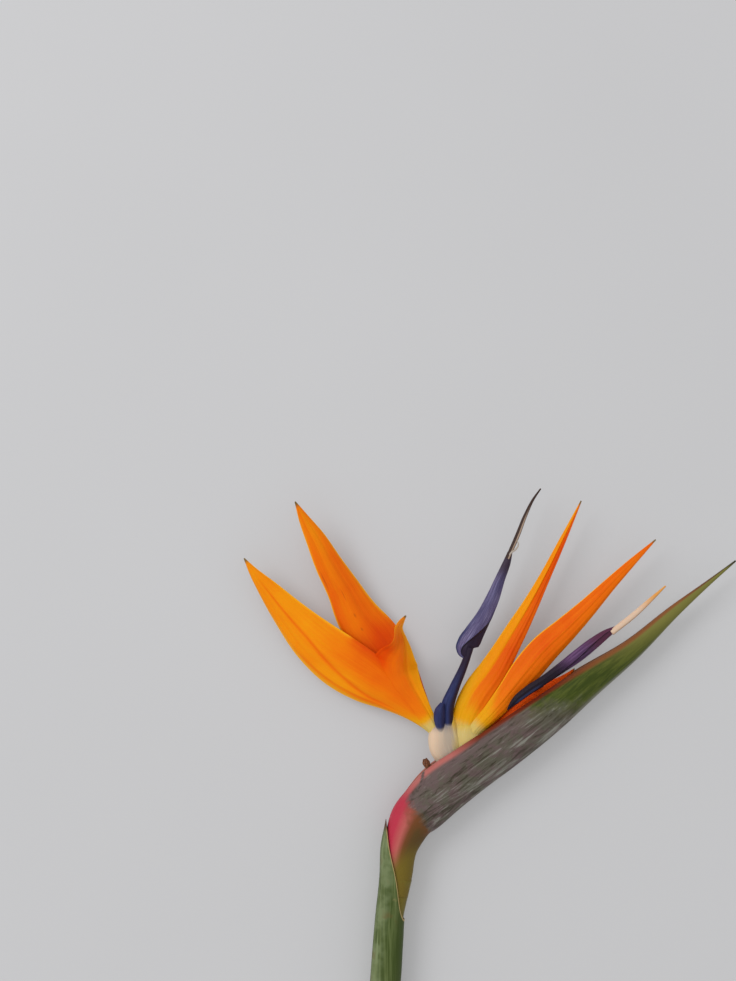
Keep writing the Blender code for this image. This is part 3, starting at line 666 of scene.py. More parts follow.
def spathe_finish(s):
    """Skin of the boat: crimson hump, waxy grey bloom scratched dark and light along its length,
    mottled green, olive beak, and a thin band along the lips that runs from pink to brown."""
    f = Finish("spathe_skin", Roughness=0.5, Specular_IOR_Level=0.14)
    rim, along, inside = f.leaf()
    band = f.foot()
    where = f.place(1000.0)
    # Turned so that the spathe's length lies along X, then drawn out along it.
    turned = f.node("VectorRotate", where, (0, 0, 0), (0, 0, 1), -0.66,
                    rotation_type="AXIS_ANGLE").outputs[0]
    drawn = f.stretch(turned, (0.08, 1.0, 0.8))
    scratch = f.noise(drawn, 0.75, 7.0, 0.70, 0.5)
    fine = f.noise(drawn, 2.0, 4.0, 0.7)
    patch = f.noise(f.stretch(turned, (0.10, 0.55, 0.5)), 0.55, 6.0, 0.68, 1.2)
    blotch = f.noise(where, 0.16, 4.0, 0.65)

    grey = f.blend(f.step(blotch, 0.38, 0.62), s.grey, s.purple)
    grey = f.blend(f.step(rim, 0.25, 0.75, 0.0, 0.8), grey, s.purple)
    pale = f.times(f.step(patch, 0.48, 0.66), f.step(rim, 0.35, -0.75))
    grey = f.blend(f.times(pale, 0.85), grey, s.bloom)
    grey = f.blend(f.step(patch, 0.47, 0.34, 0.0, 0.85), grey, s.scratch)
    lines = f.times(f.step(scratch, 0.55, 0.64), f.step(rim, 0.7, -0.2, 0.25, 0.85))
    grey = f.blend(lines, grey, s.bloom)
    grey = f.blend(f.step(scratch, 0.44, 0.35, 0.0, 0.9), grey, s.scratch)
    grey = f.blend(f.step(fine, 0.55, 0.72, 0.0, 0.45), grey, s.scratch)

    green = f.blend(f.step(scratch, 0.40, 0.62), s.dark_green, s.green)
    green = f.blend(f.step(fine, 0.50, 0.72, 0.0, 0.6), green, s.dark_green)
    green = f.blend(f.step(rim, -0.70, -1.0, 0.0, 0.75), green, s.bloom)
    turn = f.stray(f.math("ADD", along, f.times(rim, 0.055)), blotch, 0.20)
    colour = f.blend(f.step(turn, 0.44, 0.56), grey, green)
    beak = f.math("ADD", along, f.times(rim, 0.06))
    colour = f.blend(f.step(beak, 0.62, 0.84), colour, s.olive)

    hump = f.ramp(f.math("ADD", f.times(rim, 0.5), 0.5),
                  [(0.0, s.brown), (0.30, s.brown), (0.46, s.rust), (0.62, s.pink),
                   (0.82, s.crimson), (1.0, s.crimson)])
    low = f.math("ADD", along, f.times(rim, 0.030))
    hump = f.blend(f.step(low, 0.075, 0.010), hump, s.neck)
    edge = f.math("SUBTRACT", f.stray(along, blotch, 0.06), f.times(rim, 0.012))
    hump = f.blend(f.times(f.step(edge, 0.105, 0.135), f.step(rim, 0.95, 0.2, 0.0, 0.7)),
                   hump, s.rust)
    colour = f.blend(f.step(edge, 0.128, 0.152), hump, colour)

    lips = f.ramp(along, [(0.13, s.crimson), (0.19, s.lip_pink), (0.27, s.lip_pink),
                          (0.34, s.lip_red), (0.52, s.lip_red), (0.64, s.lip_brown),
                          (0.85, s.lip_brown), (1.0, s.scratch)])
    colour = f.blend(f.times(f.step(band, 0.0, 1.0), f.step(edge, 0.115, 0.14)), colour, lips)
    colour = f.blend(f.step(band, -0.15, -0.7), colour, s.lip_red)
    colour = f.blend(inside, colour, s.green)
    colour = f.blend(f.step(along, 0.965, 1.0), colour, s.scratch)
    rough = f.step(scratch, 0.4, 0.7, 0.42, 0.60)
    return f.done(colour, rough, f.math("ADD", scratch, f.times(fine, 0.5)), 0.0006, 0.4)


def bract_finish(s):
    """Crumpled dead leaf, from dark to light brown."""
    f = Finish("dried_bract_skin", Roughness=0.7)
    grain = f.noise(f.place(1000.0), 1.2, 4.0, 0.7)
    colour = f.ramp(grain, [(0.35, s.dried), (0.65, s.scrap)])
    return f.done(colour, height=grain, depth=0.0006, strength=0.8)


def stem_finish(s):
    """Smooth green skin with lengthwise streaks, olive next to the neck; the cut end is pale."""
    f = Finish("stem_skin_green", Roughness=0.42, Specular_IOR_Level=0.16)
    _, along, tone = f.leaf()
    streak = f.noise(f.stretch(f.place(1000.0), (1.0, 0.05, 1.0)), 0.8, 4.0, 0.6)
    colour = f.blend(f.step(streak, 0.42, 0.68), s.green, s.light)
    colour = f.blend(f.step(along, 0.86, 0.975), colour, s.olive)
    colour = f.blend(f.step(tone, 0.05, 0.2), colour, s.cut)
    return f.done(colour, height=streak, depth=0.0004, strength=0.4)


def sheath_finish(s):
    """Grey-green leaf with reddish patches. Its left side is pale, partly real bloom and partly
    painted light, and its right side is painted dark green as shade; tone 1 is its dried margin or a
    scar."""
    f = Finish("sheath_green", Roughness=0.48, Specular_IOR_Level=0.13)
    across, along, tone = f.leaf()
    where = f.place(1000.0)
    streak = f.noise(f.stretch(where, (1.0, 0.02, 1.0)), 0.75, 5.0, 0.6)
    patch = f.noise(where, 0.10, 3.0, 0.6)
    colour = f.blend(f.step(streak, 0.38, 0.62), s.sheath_dark, s.sheath)
    # Pale bloom on the left, partly real bloom and partly painted light on the lit side.
    pale = f.times(f.step(streak, 0.50, 0.68), f.step(across, 0.35, -0.5))
    colour = f.blend(f.times(pale, 0.8), colour, s.bloom)
    bloom_and_light = f.times(f.step(across, 0.1, -0.7), f.step(patch, 0.35, 0.60, 0.15, 0.75))
    colour = f.blend(bloom_and_light, colour, s.bloom)
    colour = f.blend(f.step(patch, 0.54, 0.68, 0.0, 0.55), colour, s.tint)
    # Painted shade: the right side turns dark green.
    colour = f.blend(f.step(across, -0.05, 0.75, 0.0, 0.85), colour, s.sheath_dark)
    colour = f.blend(f.step(across, -0.93, -1.0, 0.0, 0.6), colour, s.sheath_dark)
    colour = f.blend(f.step(tone, 0.35, 0.9), colour, s.sheath_edge)
    colour = f.blend(f.step(along, 0.955, 0.985), colour, s.dried)
    return f.done(colour, height=streak, depth=0.0004, strength=0.4)


def table_finish(s):
    """Matt paint, faintly cloudy, that gives off a little light of its own."""
    f = Finish("table_paint", Roughness=0.9, Specular_IOR_Level=0.1,
               Emission_Color=(1.0, 1.0, 1.0, 1.0), Emission_Strength=s.glow)
    grain = f.noise(f.place(1.0), 4.0, 3.0)
    return f.done(f.blend(f.step(grain, 0.3, 0.7), s.table, tuple(0.97 * c for c in s.table)))


# ---------------------------------------------------------------- settings

def colour_setting(name, description, default):
    """A colour that the panel shows."""
    return FloatVectorProperty(name=name, description=description, subtype="COLOR", size=3,
                               min=0.0, max=1.0, default=default)


def length_setting(name, description, default):
    """A length that the panel shows."""
    return FloatProperty(name=name, description=description, unit="LENGTH", min=0.0,
                         default=default)


class SepalSettings(PropertyGroup):
    """Colours of the sepals from face to point, and their thickness."""
    # Through the tone, bright and deep orange also paint light and shade.
    bright: colour_setting("Bright", "Orange of the faces that look brightest",
                           (0.80, 0.275, 0.0015))
    middle: colour_setting("Middle", "Orange of most of each sepal", (0.76, 0.152, 0.0010))
    deep: colour_setting("Deep", "Orange of the deepest streaks", (0.66, 0.058, 0.0008))
    # The margin colour is partly a painted highlight.
    margin: colour_setting("Margin", "Colour of the thin margins", (0.86, 0.42, 0.010))
    yellow: colour_setting("Yellow", "Colour of the foot", (0.74, 0.33, 0.003))
    cream: colour_setting("Cream", "Colour where the foot joins the base", (0.60, 0.45, 0.13))
    fleck: colour_setting("Fleck", "Small dried flecks", (0.44, 0.075, 0.003))
    dried: colour_setting("Dried tip", "Colour of the dried point", (0.16, 0.11, 0.03))
    thickness: length_setting("Thickness", "Thickness along the keel", 0.0009)


class BaseSettings(PropertyGroup):
    """Colours of the fleshy bases."""
    peach: colour_setting("Peach", "Left side of the bases", (0.64, 0.47, 0.33))
    # Grey and dusk are painted shade under the blue stalk.
    grey: colour_setting("Grey", "Flesh under the blue stalk", (0.42, 0.345, 0.27))
    cream: colour_setting("Cream", "Right side of the bases", (0.58, 0.44, 0.15))
    pale: colour_setting("Pale", "Pale ribs", (0.70, 0.60, 0.38))
    dusk: colour_setting("Dusk", "Flesh round the foot of the blue stalk", (0.17, 0.15, 0.18))
    yellow: colour_setting("Yellow", "Flesh under the feet of the sepals", (0.66, 0.42, 0.03))


class PetalSettings(PropertyGroup):
    """Colours of the blue and the violet arrow, and their thickness."""
    # Night is painted shade on the blue arrow: its lower lobe below the fold, and the top and right
    # side of its stalk.
    night: colour_setting("Night", "Top of the blue stalk", (0.017, 0.009, 0.024))
    indigo: colour_setting("Indigo", "Stalk of the blue arrow", (0.014, 0.020, 0.075))
    lilac: colour_setting("Lilac", "Face of the blue arrow", (0.070, 0.055, 0.135))
    lilac_streak: colour_setting("Lilac streak", "Pale streaks of the blue arrow",
                                 (0.19, 0.17, 0.30))
    lilac_tip: colour_setting("Lilac tip", "Dried top of the blue arrow", (0.028, 0.014, 0.020))
    violet: colour_setting("Violet", "Darkest part of the violet arrow", (0.010, 0.005, 0.013))
    violet_lobe: colour_setting("Violet lobe", "Blue-black lobe at its foot",
                                (0.022, 0.028, 0.075))
    violet_face: colour_setting("Violet face", "Face of the violet arrow", (0.075, 0.030, 0.090))
    violet_streak: colour_setting("Violet streak", "Pale streaks of the violet arrow",
                                  (0.17, 0.085, 0.20))
    violet_tip: colour_setting("Violet tip", "Tip of the violet arrow", (0.085, 0.018, 0.040))
    foot: colour_setting("Foot", "Where a stalk fades into the base", (0.42, 0.36, 0.30))
    # Fold is the colour of a line of painted shade along each arrow's fold.
    fold: colour_setting("Fold", "Fold of both arrows", (0.008, 0.004, 0.010))
    thickness: length_setting("Thickness", "Thickness of the arrow's blade", 0.0013)


class StyleSettings(PropertyGroup):
    """Colours of the dried and the fresh style."""
    brown: colour_setting("Brown", "Dried style", (0.040, 0.020, 0.015))
    tan: colour_setting("Tan", "Streak along the dried style", (0.42, 0.30, 0.22))
    cream: colour_setting("Cream", "Fresh style", (0.64, 0.46, 0.33))
    tip: colour_setting("Tip", "Point of the fresh style", (0.66, 0.30, 0.07))
    # Side is painted shade along the right side of the fresh style.
    side: colour_setting("Side", "Right side of the fresh style", (0.26, 0.13, 0.07))


class SpatheSettings(PropertyGroup):
    """Colours of the spathe from neck to beak, and of its lips."""
    grey: colour_setting("Grey", "Waxy bloom on the lower half", (0.092, 0.084, 0.060))
    purple: colour_setting("Purple", "Purplish patches of the bloom", (0.112, 0.074, 0.072))
    bloom: colour_setting("Pale bloom", "Thick bloom along the keel", (0.250, 0.245, 0.210))
    scratch: colour_setting("Scratches", "Where the bloom is rubbed off", (0.032, 0.027, 0.014))
    green: colour_setting("Green", "Upper half", (0.074, 0.092, 0.012))
    dark_green: colour_setting("Dark green", "Mottling of the upper half", (0.034, 0.050, 0.004))
    olive: colour_setting("Olive", "Beak", (0.165, 0.155, 0.034))
    neck: colour_setting("Neck", "Olive of the neck next to the stem", (0.150, 0.105, 0.012))
    crimson: colour_setting("Crimson", "Inner side of the hump", (0.42, 0.028, 0.055))
    pink: colour_setting("Pink", "Soft flush beside the crimson", (0.42, 0.095, 0.082))
    rust: colour_setting("Rust", "Edge of the flush", (0.145, 0.050, 0.014))
    brown: colour_setting("Brown", "Outer side of the hump", (0.092, 0.050, 0.012))
    lip_pink: colour_setting("Pink lip", "Lips beside the flowers", (0.42, 0.13, 0.115))
    lip_red: colour_setting("Red lip", "Middle of the lips", (0.15, 0.022, 0.008))
    lip_brown: colour_setting("Brown lip", "Lips towards the beak", (0.21, 0.075, 0.022))


class StemSettings(PropertyGroup):
    """Colours of the stem, the sheath and the dried bract."""
    olive: colour_setting("Olive", "Stem next to the neck", (0.145, 0.110, 0.012))
    green: colour_setting("Green", "Stem", (0.040, 0.060, 0.009))
    light: colour_setting("Light green", "Lighter lengthwise streaks", (0.085, 0.115, 0.022))
    cut: colour_setting("Cut", "Pale flesh at the cut end", (0.50, 0.55, 0.30))
    sheath: colour_setting("Sheath", "Grey green of the sheath", (0.110, 0.140, 0.045))
    # Bloom is partly painted light on the sheath's left side, and sheath dark is also painted shade
    # on its right side.
    bloom: colour_setting("Bloom", "Pale bloom on the sheath", (0.185, 0.225, 0.110))
    sheath_dark: colour_setting("Sheath dark", "Darker green of the sheath",
                                (0.040, 0.062, 0.010))
    tint: colour_setting("Tint", "Reddish patches of the sheath", (0.120, 0.080, 0.024))
    sheath_edge: colour_setting("Sheath edge", "Thin dried margin", (0.36, 0.26, 0.11))
    dried: colour_setting("Dried", "Dried tip and scars", (0.085, 0.035, 0.020))
    scrap: colour_setting("Scrap", "Light parts of the dried bract", (0.34, 0.13, 0.05))


class StageSettings(PropertyGroup):
    """The table, the light and how much the camera sees."""
    table: colour_setting("Table", "Pale table", (0.36, 0.36, 0.37))
    glow: FloatProperty(name="Glow", description="Light that the light table gives off", min=0.0,
                        default=0.18)
    key: FloatProperty(name="Key light", description="Power of the large soft light", unit="POWER",
                       min=0.0, default=11.0)
    fill: FloatProperty(name="Sky", description="Strength of the even light from all round",
                        min=0.0, default=0.80)
    span: length_setting("Span", "Height of what the camera sees", 0.3924)


# ---------------------------------------------------------------- the organs

def sepal_relief(name):
    """Height added to each sepal's middle surface, in millimetres: broad ribs that fade at both
    ends, a groove along the keel, one slow wave along it, and a turned-down margin."""
    keel = SEPALS[name]["keel"]
    hand, start, drop = SEPALS[name]["margin"]
    phase = 1.7 * list(SEPALS).index(name)

    def relief(u, v):
        body = np.sin(np.pi * np.clip(u, 0, 1)) ** 0.6
        ribs = 0.12 * np.sin(8.5 * v + phase) + 0.06 * np.sin(19 * v + 2 * phase + 1.5 * u)
        groove = -0.20 * ridge(v, keel, 0.06)
        wave = 0.28 * np.sin(7.0 * u + phase) * (0.4 + v * np.sin(4 * u + phase))
        # The lower left sepal has two long creases, and the back right one a seam.
        crease = 0.0
        if name == "flower_1_sepal_lower":
            crease = (-0.45 * ridge(v, lower_crease(u), 0.07) - 0.35 * ridge(v, 0.78, 0.05)
                      * ease(u, 0.2, 0.35) * ease(u, 0.66, 0.5))
        if name == "flower_2_sepal_back":
            crease = -0.5 * ridge(v, 0.35 - 0.5 * u, 0.10)
        return body * (ribs + groove + wave + crease - drop * ease(hand * v, start, 1.05))
    return relief


def lower_crease(u):
    """Where the long crease of the lower left sepal runs across its width."""
    return np.interp(u, [0.15, 0.30, 0.45, 0.62, 1.0], [0.75, 0.62, 0.32, 0.05, 0.0])


def sepal_tone(name):
    """Bright (0) to deep (1) orange over a sepal, much of it painted light: painted shade in its
    creases, where another sepal shades it and on sides turned from the light, and painted highlights
    along some margins.
    """
    def lower(u, v):
        # Painted shade: deeper along the two creases and over the right half of the lower part, next
        # to the front sepal; a painted highlight along the left margin.
        crease = 0.42 * ridge(v, lower_crease(u), 0.07) * ease(u, 0.18, 0.3) * ease(u, 0.93, 0.8)
        second = 0.40 * ridge(v, 0.78, 0.045) * ease(u, 0.2, 0.32) * ease(u, 0.62, 0.5)
        inner = 0.48 * ease(v, 0.5, -0.3) * ease(u, 0.60, 0.42)
        notch = 0.30 * ease(v, -0.6, -0.95) * ease(u, 0.52, 0.45) * ease(u, 0.2, 0.3)
        return (0.12 + inner + notch + 0.20 * ridge(u, 0.22, 0.10) * ease(v, -0.2, 0.4) + crease
                + second - 0.55 * ease(v, 0.84, 0.97))

    def upper(u, v):
        # Painted shade at its low end, where it passes behind the front sepal; a painted highlight
        # along its left margin further up.
        low = 0.42 * ease(u, 0.52, 0.40)
        shade = 0.10 * np.sin(5 * v + 6 * u)
        return (0.58 + low + shade - 0.22 * ease(u, 0.66, 0.90) - 0.40 * ease(v, 0.90, 1.0)
                * ease(u, 0.45, 0.5) - 0.20 * ease(v, -0.8, -1.0))

    def front(u, v):
        # Painted shade over the upper left, where it meets the upper sepal, and painted light on the
        # right side.
        dark = 0.35 * ease(v, 0.1, 0.7) * ease(u, 0.52, 0.60) * ease(u, 0.80, 0.70)
        return (0.62 + dark - 0.66 * ease(v, -0.15, -0.85) - 0.30 * ease(u, 0.42, 0.15)
                - 0.30 * ease(u, 0.80, 0.92))

    def back(u, v):
        # Painted light: the strip left of the shade line, on the side of the keel turned to the
        # light, stays bright and the rest is deep as painted shade.
        shade_line = 0.35 - 0.50 * u
        return (0.78 - 0.74 * ease(v, shade_line - 0.10, shade_line + 0.14) - 0.30 * ease(u, 0.35, 0.12)
                + 0.12 * ridge(v, -0.55, 0.2))

    def middle(u, v):
        # A painted highlight along the left margin.
        return (0.60 + 0.10 * ease(v, 0.0, 0.7) - 0.60 * ease(v, 0.90, 1.0)
                - 0.25 * ease(u, 0.30, 0.10) - 0.05 * ease(v, -0.5, -0.9)
                + 0.16 * ridge(v, 0.12, 0.06) * ease(u, 0.25, 0.4) * ease(u, 0.9, 0.7))

    def strip(u, v):
        return 0.92 + 0 * u * v
    return {"flower_1_sepal_lower": lower, "flower_1_sepal_upper": upper,
            "flower_1_sepal_front": front, "flower_2_sepal_back": back,
            "flower_2_sepal_middle": middle, "flower_2_sepal_lower": strip}[name]


def sepal_foot(name):
    """1 in the cream foot, 0.5 in the yellow above it, 0 in the orange; flecks go below 0."""
    middle, left, right = SEPALS[name]["yellow"]

    def foot(run, u, v):
        reach = middle + (left - middle) * ease(v, 0.1, 0.95) + (right - middle) * ease(
            v, -0.1, -0.95)
        amount = 0.5 * ease(run, reach * 1.3, reach * 0.5) + 0.5 * ease(run, 11.0, 4.5)
        if name == "flower_1_sepal_upper":
            for place, across, long, wide in FLECKS:
                amount = amount - 0.7 * ridge(u, place, long) * ridge(v, across, wide)
        return amount
    return foot


def front_sag(u, v):
    """Lays the left margin of the front sepal down on the lower one, up to its own bend."""
    return np.interp(u, [0, 0.10, 0.25, 0.42, 0.54, 0.61, 0.67, 0.73, 0.80, 1],
                     [0, 0.3, 1.2, 2.8, 5.0, 7.2, 5.5, 2.5, 0, 0]) * ease(v, -0.2, 0.9)


class FLOWER_OT_sepals(Operator):
    """Lay out the sepals of both open flowers"""
    bl_idname = "flower.sepals"
    bl_label = "Sepals"

    def execute(self, context):
        s = context.scene.flower_sepals
        finish = sepal_finish(s)
        for name, spec in SEPALS.items():
            sag = front_sag if name == "flower_1_sepal_front" else None
            shell = blade_shell(spec, s.thickness / MM, *GRIDS["sepal"], sepal_relief(name),
                                sepal_tone(name), sepal_foot(name), sag)
            skin(name.replace("sepal", "sepal_skin"), [shell], finish, name)
        return {"FINISHED"}


class FLOWER_OT_bases(Operator):
    """Build the fleshy bases that carry the open flowers"""
    bl_idname = "flower.bases"
    bl_label = "Flower bases"

    def execute(self, context):
        finish = base_finish(context.scene.flower_bases)

        def flute(u, angle):
            return 1 + 0.012 * np.cos(7 * angle + 2 * u) + 0.008 * np.cos(13 * angle)
        for name, route in BASES.items():
            rings, leaf = rod_shell(route, *GRIDS["base"], 0.8, 1.5, flute, depth_column=True)
            leaf[..., 2] = np.clip((rings[..., 0] - 10.0) / 20.0, 0, 1)
            leaf[..., 3] = ease(rings[..., 1], 46.0, 54.0)
            skin(name.replace("base", "base_flesh"), [(rings, leaf)], finish, name)
        return {"FINISHED"}


def blue_fold(u):
    """Where the lower lobe of the blue arrow begins, across its width; the lobe is painted nearly
    black as shade.
    """
    return np.interp(u, [0, 0.10, 0.40, 1], [0.62, 0.25, -1.05, -1.2])


def violet_fold(u):
    """Where the fold of the violet arrow runs, across its width; it is drawn as a black line of
    painted shade.
    """
    return np.interp(u, [0, 0.42, 0.62, 0.80, 0.95, 1], [-0.85, -0.75, -0.40, -0.02, 0.25, 0.3])


def blue_arrow(u, v):
    """Tone of the blue arrow's blade: pale above the fold, nearly black below it as painted shade.
    """
    face = ease(v - blue_fold(u), 0.0, 0.14)
    rim = 0.55 * ease(v, 0.70, 1.0) * ease(u, 0.34, 0.12) + 0.30 * ease(v, -0.6, -1.0)
    mottle = 0.14 * np.sin(7 * u + 3 * v) + 0.10 * ridge(v, 0.3, 0.25)
    return 0.02 + face * (0.80 - rim + mottle)


def violet_arrow(u, v):
    """Tone of the violet arrow's blade: black towards its point, violet above the fold."""
    face = ease(v - violet_fold(u), 0.0, 0.12) * ease(u, 0.36, 0.66)
    under = 0.60 * ease(violet_fold(u) - v, 0.0, 0.12) * ease(u, 0.45, 0.6)
    return 0.02 + 0.85 * face + under


def violet_lobe(u, v):
    """Share of the blue lobe at the foot of the violet arrow."""
    return (ease(v, -0.15, -0.4) * ease(v, -0.98, -0.75) * ease(u, 0.04, 0.12)
            * ease(u, 0.36, 0.24))


class FLOWER_OT_petals(Operator):
    """Build the blue and violet arrows and the small hood petals beside them"""
    bl_idname = "flower.petals"
    bl_label = "Petals"

    def execute(self, context):
        s = context.scene.flower_petals
        blue = petal_finish("blue_velvet", s.night, s.indigo, s.lilac, s.lilac_streak, s.lilac_tip,
                            s.foot, s.fold)
        violet = petal_finish("violet_velvet", s.violet, s.violet, s.violet_face,
                              s.violet_streak, s.violet_tip, s.violet_lobe, s.fold)
        looks = {1: ("blue_petal", blue, blue_fold, blue_arrow, 0.9),
                 2: ("violet_petal", violet, violet_fold, violet_arrow, 0.6)}
        for number, (slot, finish, fold, tone, step) in looks.items():
            name = f"flower_{number}_tongue"
            spec = dict(TONGUES[name], route=TONGUES[name]["blade"])

            def relief(u, v):
                body = np.sin(np.pi * np.clip(u, 0, 1)) ** 0.5
                under = -step * ease(fold(u) - v, -0.05, 0.10)
                return body * (under + 0.30 * ridge(v, 0.25, 0.3)
                               + 0.06 * np.sin(24 * v + 5 * u))

            def foot(run, u, v):
                # A black line of painted shade along the fold.
                shade_line = -1.1 * ridge(v, fold(u), 0.06) * ease(u, 0.98, 0.9) * ease(u, 0.0, 0.05)
                return shade_line + (violet_lobe(u, v) if number == 2 else 0)
            blade = blade_shell(spec, s.thickness / MM, *GRIDS["arrow"], relief, tone, foot)
            rings, leaf = rod_shell(spec["stalk"], *GRIDS["stalk"], 0.3, 0.8)
            # The stalk goes nearly black at its top and along its right side: painted shade.
            leaf[..., 2] = 0.20 * ease(leaf[..., 1], 0.95, 0.45) * ease(leaf[..., 0], -0.8, 0.2)
            leaf[..., 3] = ease(rings[..., 1], 52.4, 49.2) if number == 1 else 0
            shells = [blade, (rings, leaf)]
            if number == 1:
                hook, leaf = rod_shell(HOOK, *GRIDS["hook"], 0.1, 0.1)
                leaf[..., 3] = 0.9
                shells.append((hook, leaf))
            skin(f"flower_{number}_arrow", shells, finish, name)
            name = f"flower_{number}_hood_petal"
            # The hood's tone rises across it, so one side is painted lighter as a highlight.
            hood = blade_shell(HOODS[name], 1.0, *GRIDS["hood"], None,
                               lambda u, v: 0.17 + 0.06 * v,
                               lambda run, u, v: ease(run, 5.2, 2.0) if number == 1 else 0 * u)
            skin(f"flower_{number}_hood", [hood], finish, name)
        return {"FINISHED"}


class FLOWER_OT_styles(Operator):
    """Build the long styles that run on from the arrows"""
    bl_idname = "flower.styles"
    bl_label = "Styles"

    def execute(self, context):
        s = context.scene.flower_styles
        shell = rod_shell(STYLES["flower_1_style"], *GRIDS["style"], 0.2, 0.2, flat=0.75)
        skin("flower_1_dried_style", [shell], dried_style_finish(s), "flower_1_style")
        shell = rod_shell(STYLES["flower_2_style"], *GRIDS["style"], 0.2, 0.2, flat=0.85)
        skin("flower_2_fresh_style", [shell], fresh_style_finish(s), "flower_2_style")
        return {"FINISHED"}


def spathe_shell(along=260, outer=120, inner=72):
    """The boat: each section runs from one lip round the keel to the other lip and back inside.

    At angle a from the rim the outside is depth cos(a) towards the rim and width sin(a) across, and
    the slit pushes the two lips apart by (1 + cos a) / 2 of its half width. The inside is the same
    section less the wall, and closes up to the rim where the boat is solid.
    """
    table = smooth_curve(SPATHE_STATIONS, along)
    line = np.column_stack([table[:, :2], np.full(along, MIDDLE)])
    _, side, up = frames(line)
    depth, width, slit, hollow = (table[:, k][:, None] for k in (2, 3, 4, 5))

    def section(count, depth, width, slit):
        """Towards the rim, across, and the angle, at count + 1 places from rim to rim."""
        angle = np.linspace(0, 2 * np.pi, count + 1)[None, :]
        half = np.sign(np.pi - angle + 1e-9)
        return (depth * np.cos(angle), width * np.sin(angle) + slit * half * (1 + np.cos(angle)) / 2,
                angle)
    out_d, out_w, angle = section(outer, depth, width, slit)
    wall = np.minimum(SPATHE_WALL, 0.45 * np.minimum(depth, width))
    in_d, in_w, in_angle = section(inner, depth - wall, width - wall,
                                   np.maximum(slit - 0.5 * wall, 0.5 * slit))
    notch = depth - 0.3 * wall
    in_d = notch + hollow * (in_d - notch)
    in_w = hollow * in_w + (1 - hollow) * 0.5 * slit * np.sign(in_w)
    d = np.concatenate([out_d, in_d[:, ::-1]], axis=1)
    w = np.concatenate([out_w, in_w[:, ::-1]], axis=1)
    rings = line[:, None, :] + side[:, None, :] * d[..., None] + up[:, None, :] * w[..., None]
    towards_rim = np.concatenate([np.cos(angle) + 0 * depth,
                                  np.cos(in_angle[:, ::-1]) + 0 * depth], axis=1)
    inside = np.concatenate([np.zeros((along, outer + 1)), np.ones((along, inner + 1))], axis=1)
    run = run_length(line)
    place = ((run - SLEEVE) / (run[-1] - SLEEVE))[:, None]
    broad = np.interp(place, *LIP_BAND)
    band = ease(towards_rim, broad - 0.10, 0.25 * broad + 0.75)
    below = rings[..., 1] - LIP_SCAR[1]
    scar = np.hypot(rings[..., 0] - LIP_SCAR[0] - 0.25 * below, 0.17 * below)
    band = band - 1.4 * ridge(scar, 0, 0.42) * (rings[..., 2] > MIDDLE)
    leaf = np.stack([towards_rim, place + 0 * towards_rim, inside, band], -1)
    return rings, leaf


class FLOWER_OT_spathe(Operator):
    """Build the boat-shaped spathe"""
    bl_idname = "flower.spathe"
    bl_label = "Spathe"

    def execute(self, context):
        finish = spathe_finish(context.scene.flower_spathe)
        skin("spathe_boat", [spathe_shell()], finish, "spathe")
        return {"FINISHED"}


class FLOWER_OT_stem(Operator):
    """Build the stem from its cut end to the neck"""
    bl_idname = "flower.stem"
    bl_label = "Stem"

    def execute(self, context):
        def flute(u, angle):
            return 1 - 0.006 * (1 + np.cos(14 * angle + 3 * u))
        shell = rod_shell(STEM_ROUTE, *GRIDS["stem"], 0.25, 0.25, flute)
        skin("stem_skin", [shell], stem_finish(context.scene.flower_stem), "stem")
        return {"FINISHED"}


def sheath_shell(along=150, around=120, turn=6):
    """A thin tube round the stem whose mouth slants from a low side up to a point on the other.

    Its height at angle a is low + (tip - low) ((1 - cos a) / 2)^1.5; the surface runs up the
    outside, over the mouth's edge in a half circle, and down the inside. The wall thins towards
    both ends, and the gap to the stem closes at the mouth."""
    lined = smooth_curve(STEM_ROUTE[:-1] + SHEATH_TOP, 300)
    lined = lined[np.argsort(lined[:, 1])]
    angle = np.linspace(0, 2 * np.pi, around, endpoint=False)[None, :]
    point_side = ((1 - np.cos(angle)) / 2) ** 1.5
    top = SHEATH_LOW_Y + (SHEATH_TIP_Y - SHEATH_LOW_Y) * point_side
    up_share = np.linspace(0, 1, along)
    half = SHEATH_WALL / 2
    bend = np.linspace(0, np.pi, turn + 2)[1:-1]
    share = np.concatenate([up_share, np.ones(turn), up_share[::-1], np.zeros(turn)])[:, None]
    out = np.concatenate([np.ones(along), np.cos(bend), -np.ones(along), -np.cos(bend)])[:, None]
    bulge = np.concatenate([np.zeros(along), np.sin(bend), np.zeros(along), -np.sin(bend)])[:, None]
    thin = 0.35 + 0.65 * ease(share, 1.0, 0.75)
    thin = thin * (0.25 + 0.75 * ease(share, 0.0, 0.04))
    y = SHEATH_FOOT_Y + (top - SHEATH_FOOT_Y) * share + half * 0.4 * bulge
    x, z, radius = (np.interp(y, lined[:, 1], lined[:, k]) for k in (0, 2, 3))
    gap = 0.12 + (SHEATH_GAP - 0.12) * ease(share, 0.0, 0.06) - 0.40 * ease(share, 0.90, 1.0)
    reach = radius + gap + half + out * half * thin
    rings = np.stack([x + reach * np.cos(angle), y, z + reach * np.sin(angle)], -1)
    distance = (1 - share) * (top - SHEATH_FOOT_Y)
    margin = ease(distance, 1.3, 0.2) + 0 * share
    height = (y - SHEATH_FOOT_Y) / (SHEATH_TIP_Y - SHEATH_FOOT_Y)
    for mark_x, mark_y, long, wide in SCARS:
        beside = rings[..., 0] - mark_x
        away = np.hypot(beside / long, (y - mark_y - 0.3 * beside) / wide)
        margin = np.maximum(margin, 0.8 * ridge(away, 0, 1) * (np.sin(angle) > 0.1))
    leaf = np.stack([np.cos(angle) + 0 * share, height, margin, np.sin(angle) + 0 * share], -1)
    return rings, leaf, True


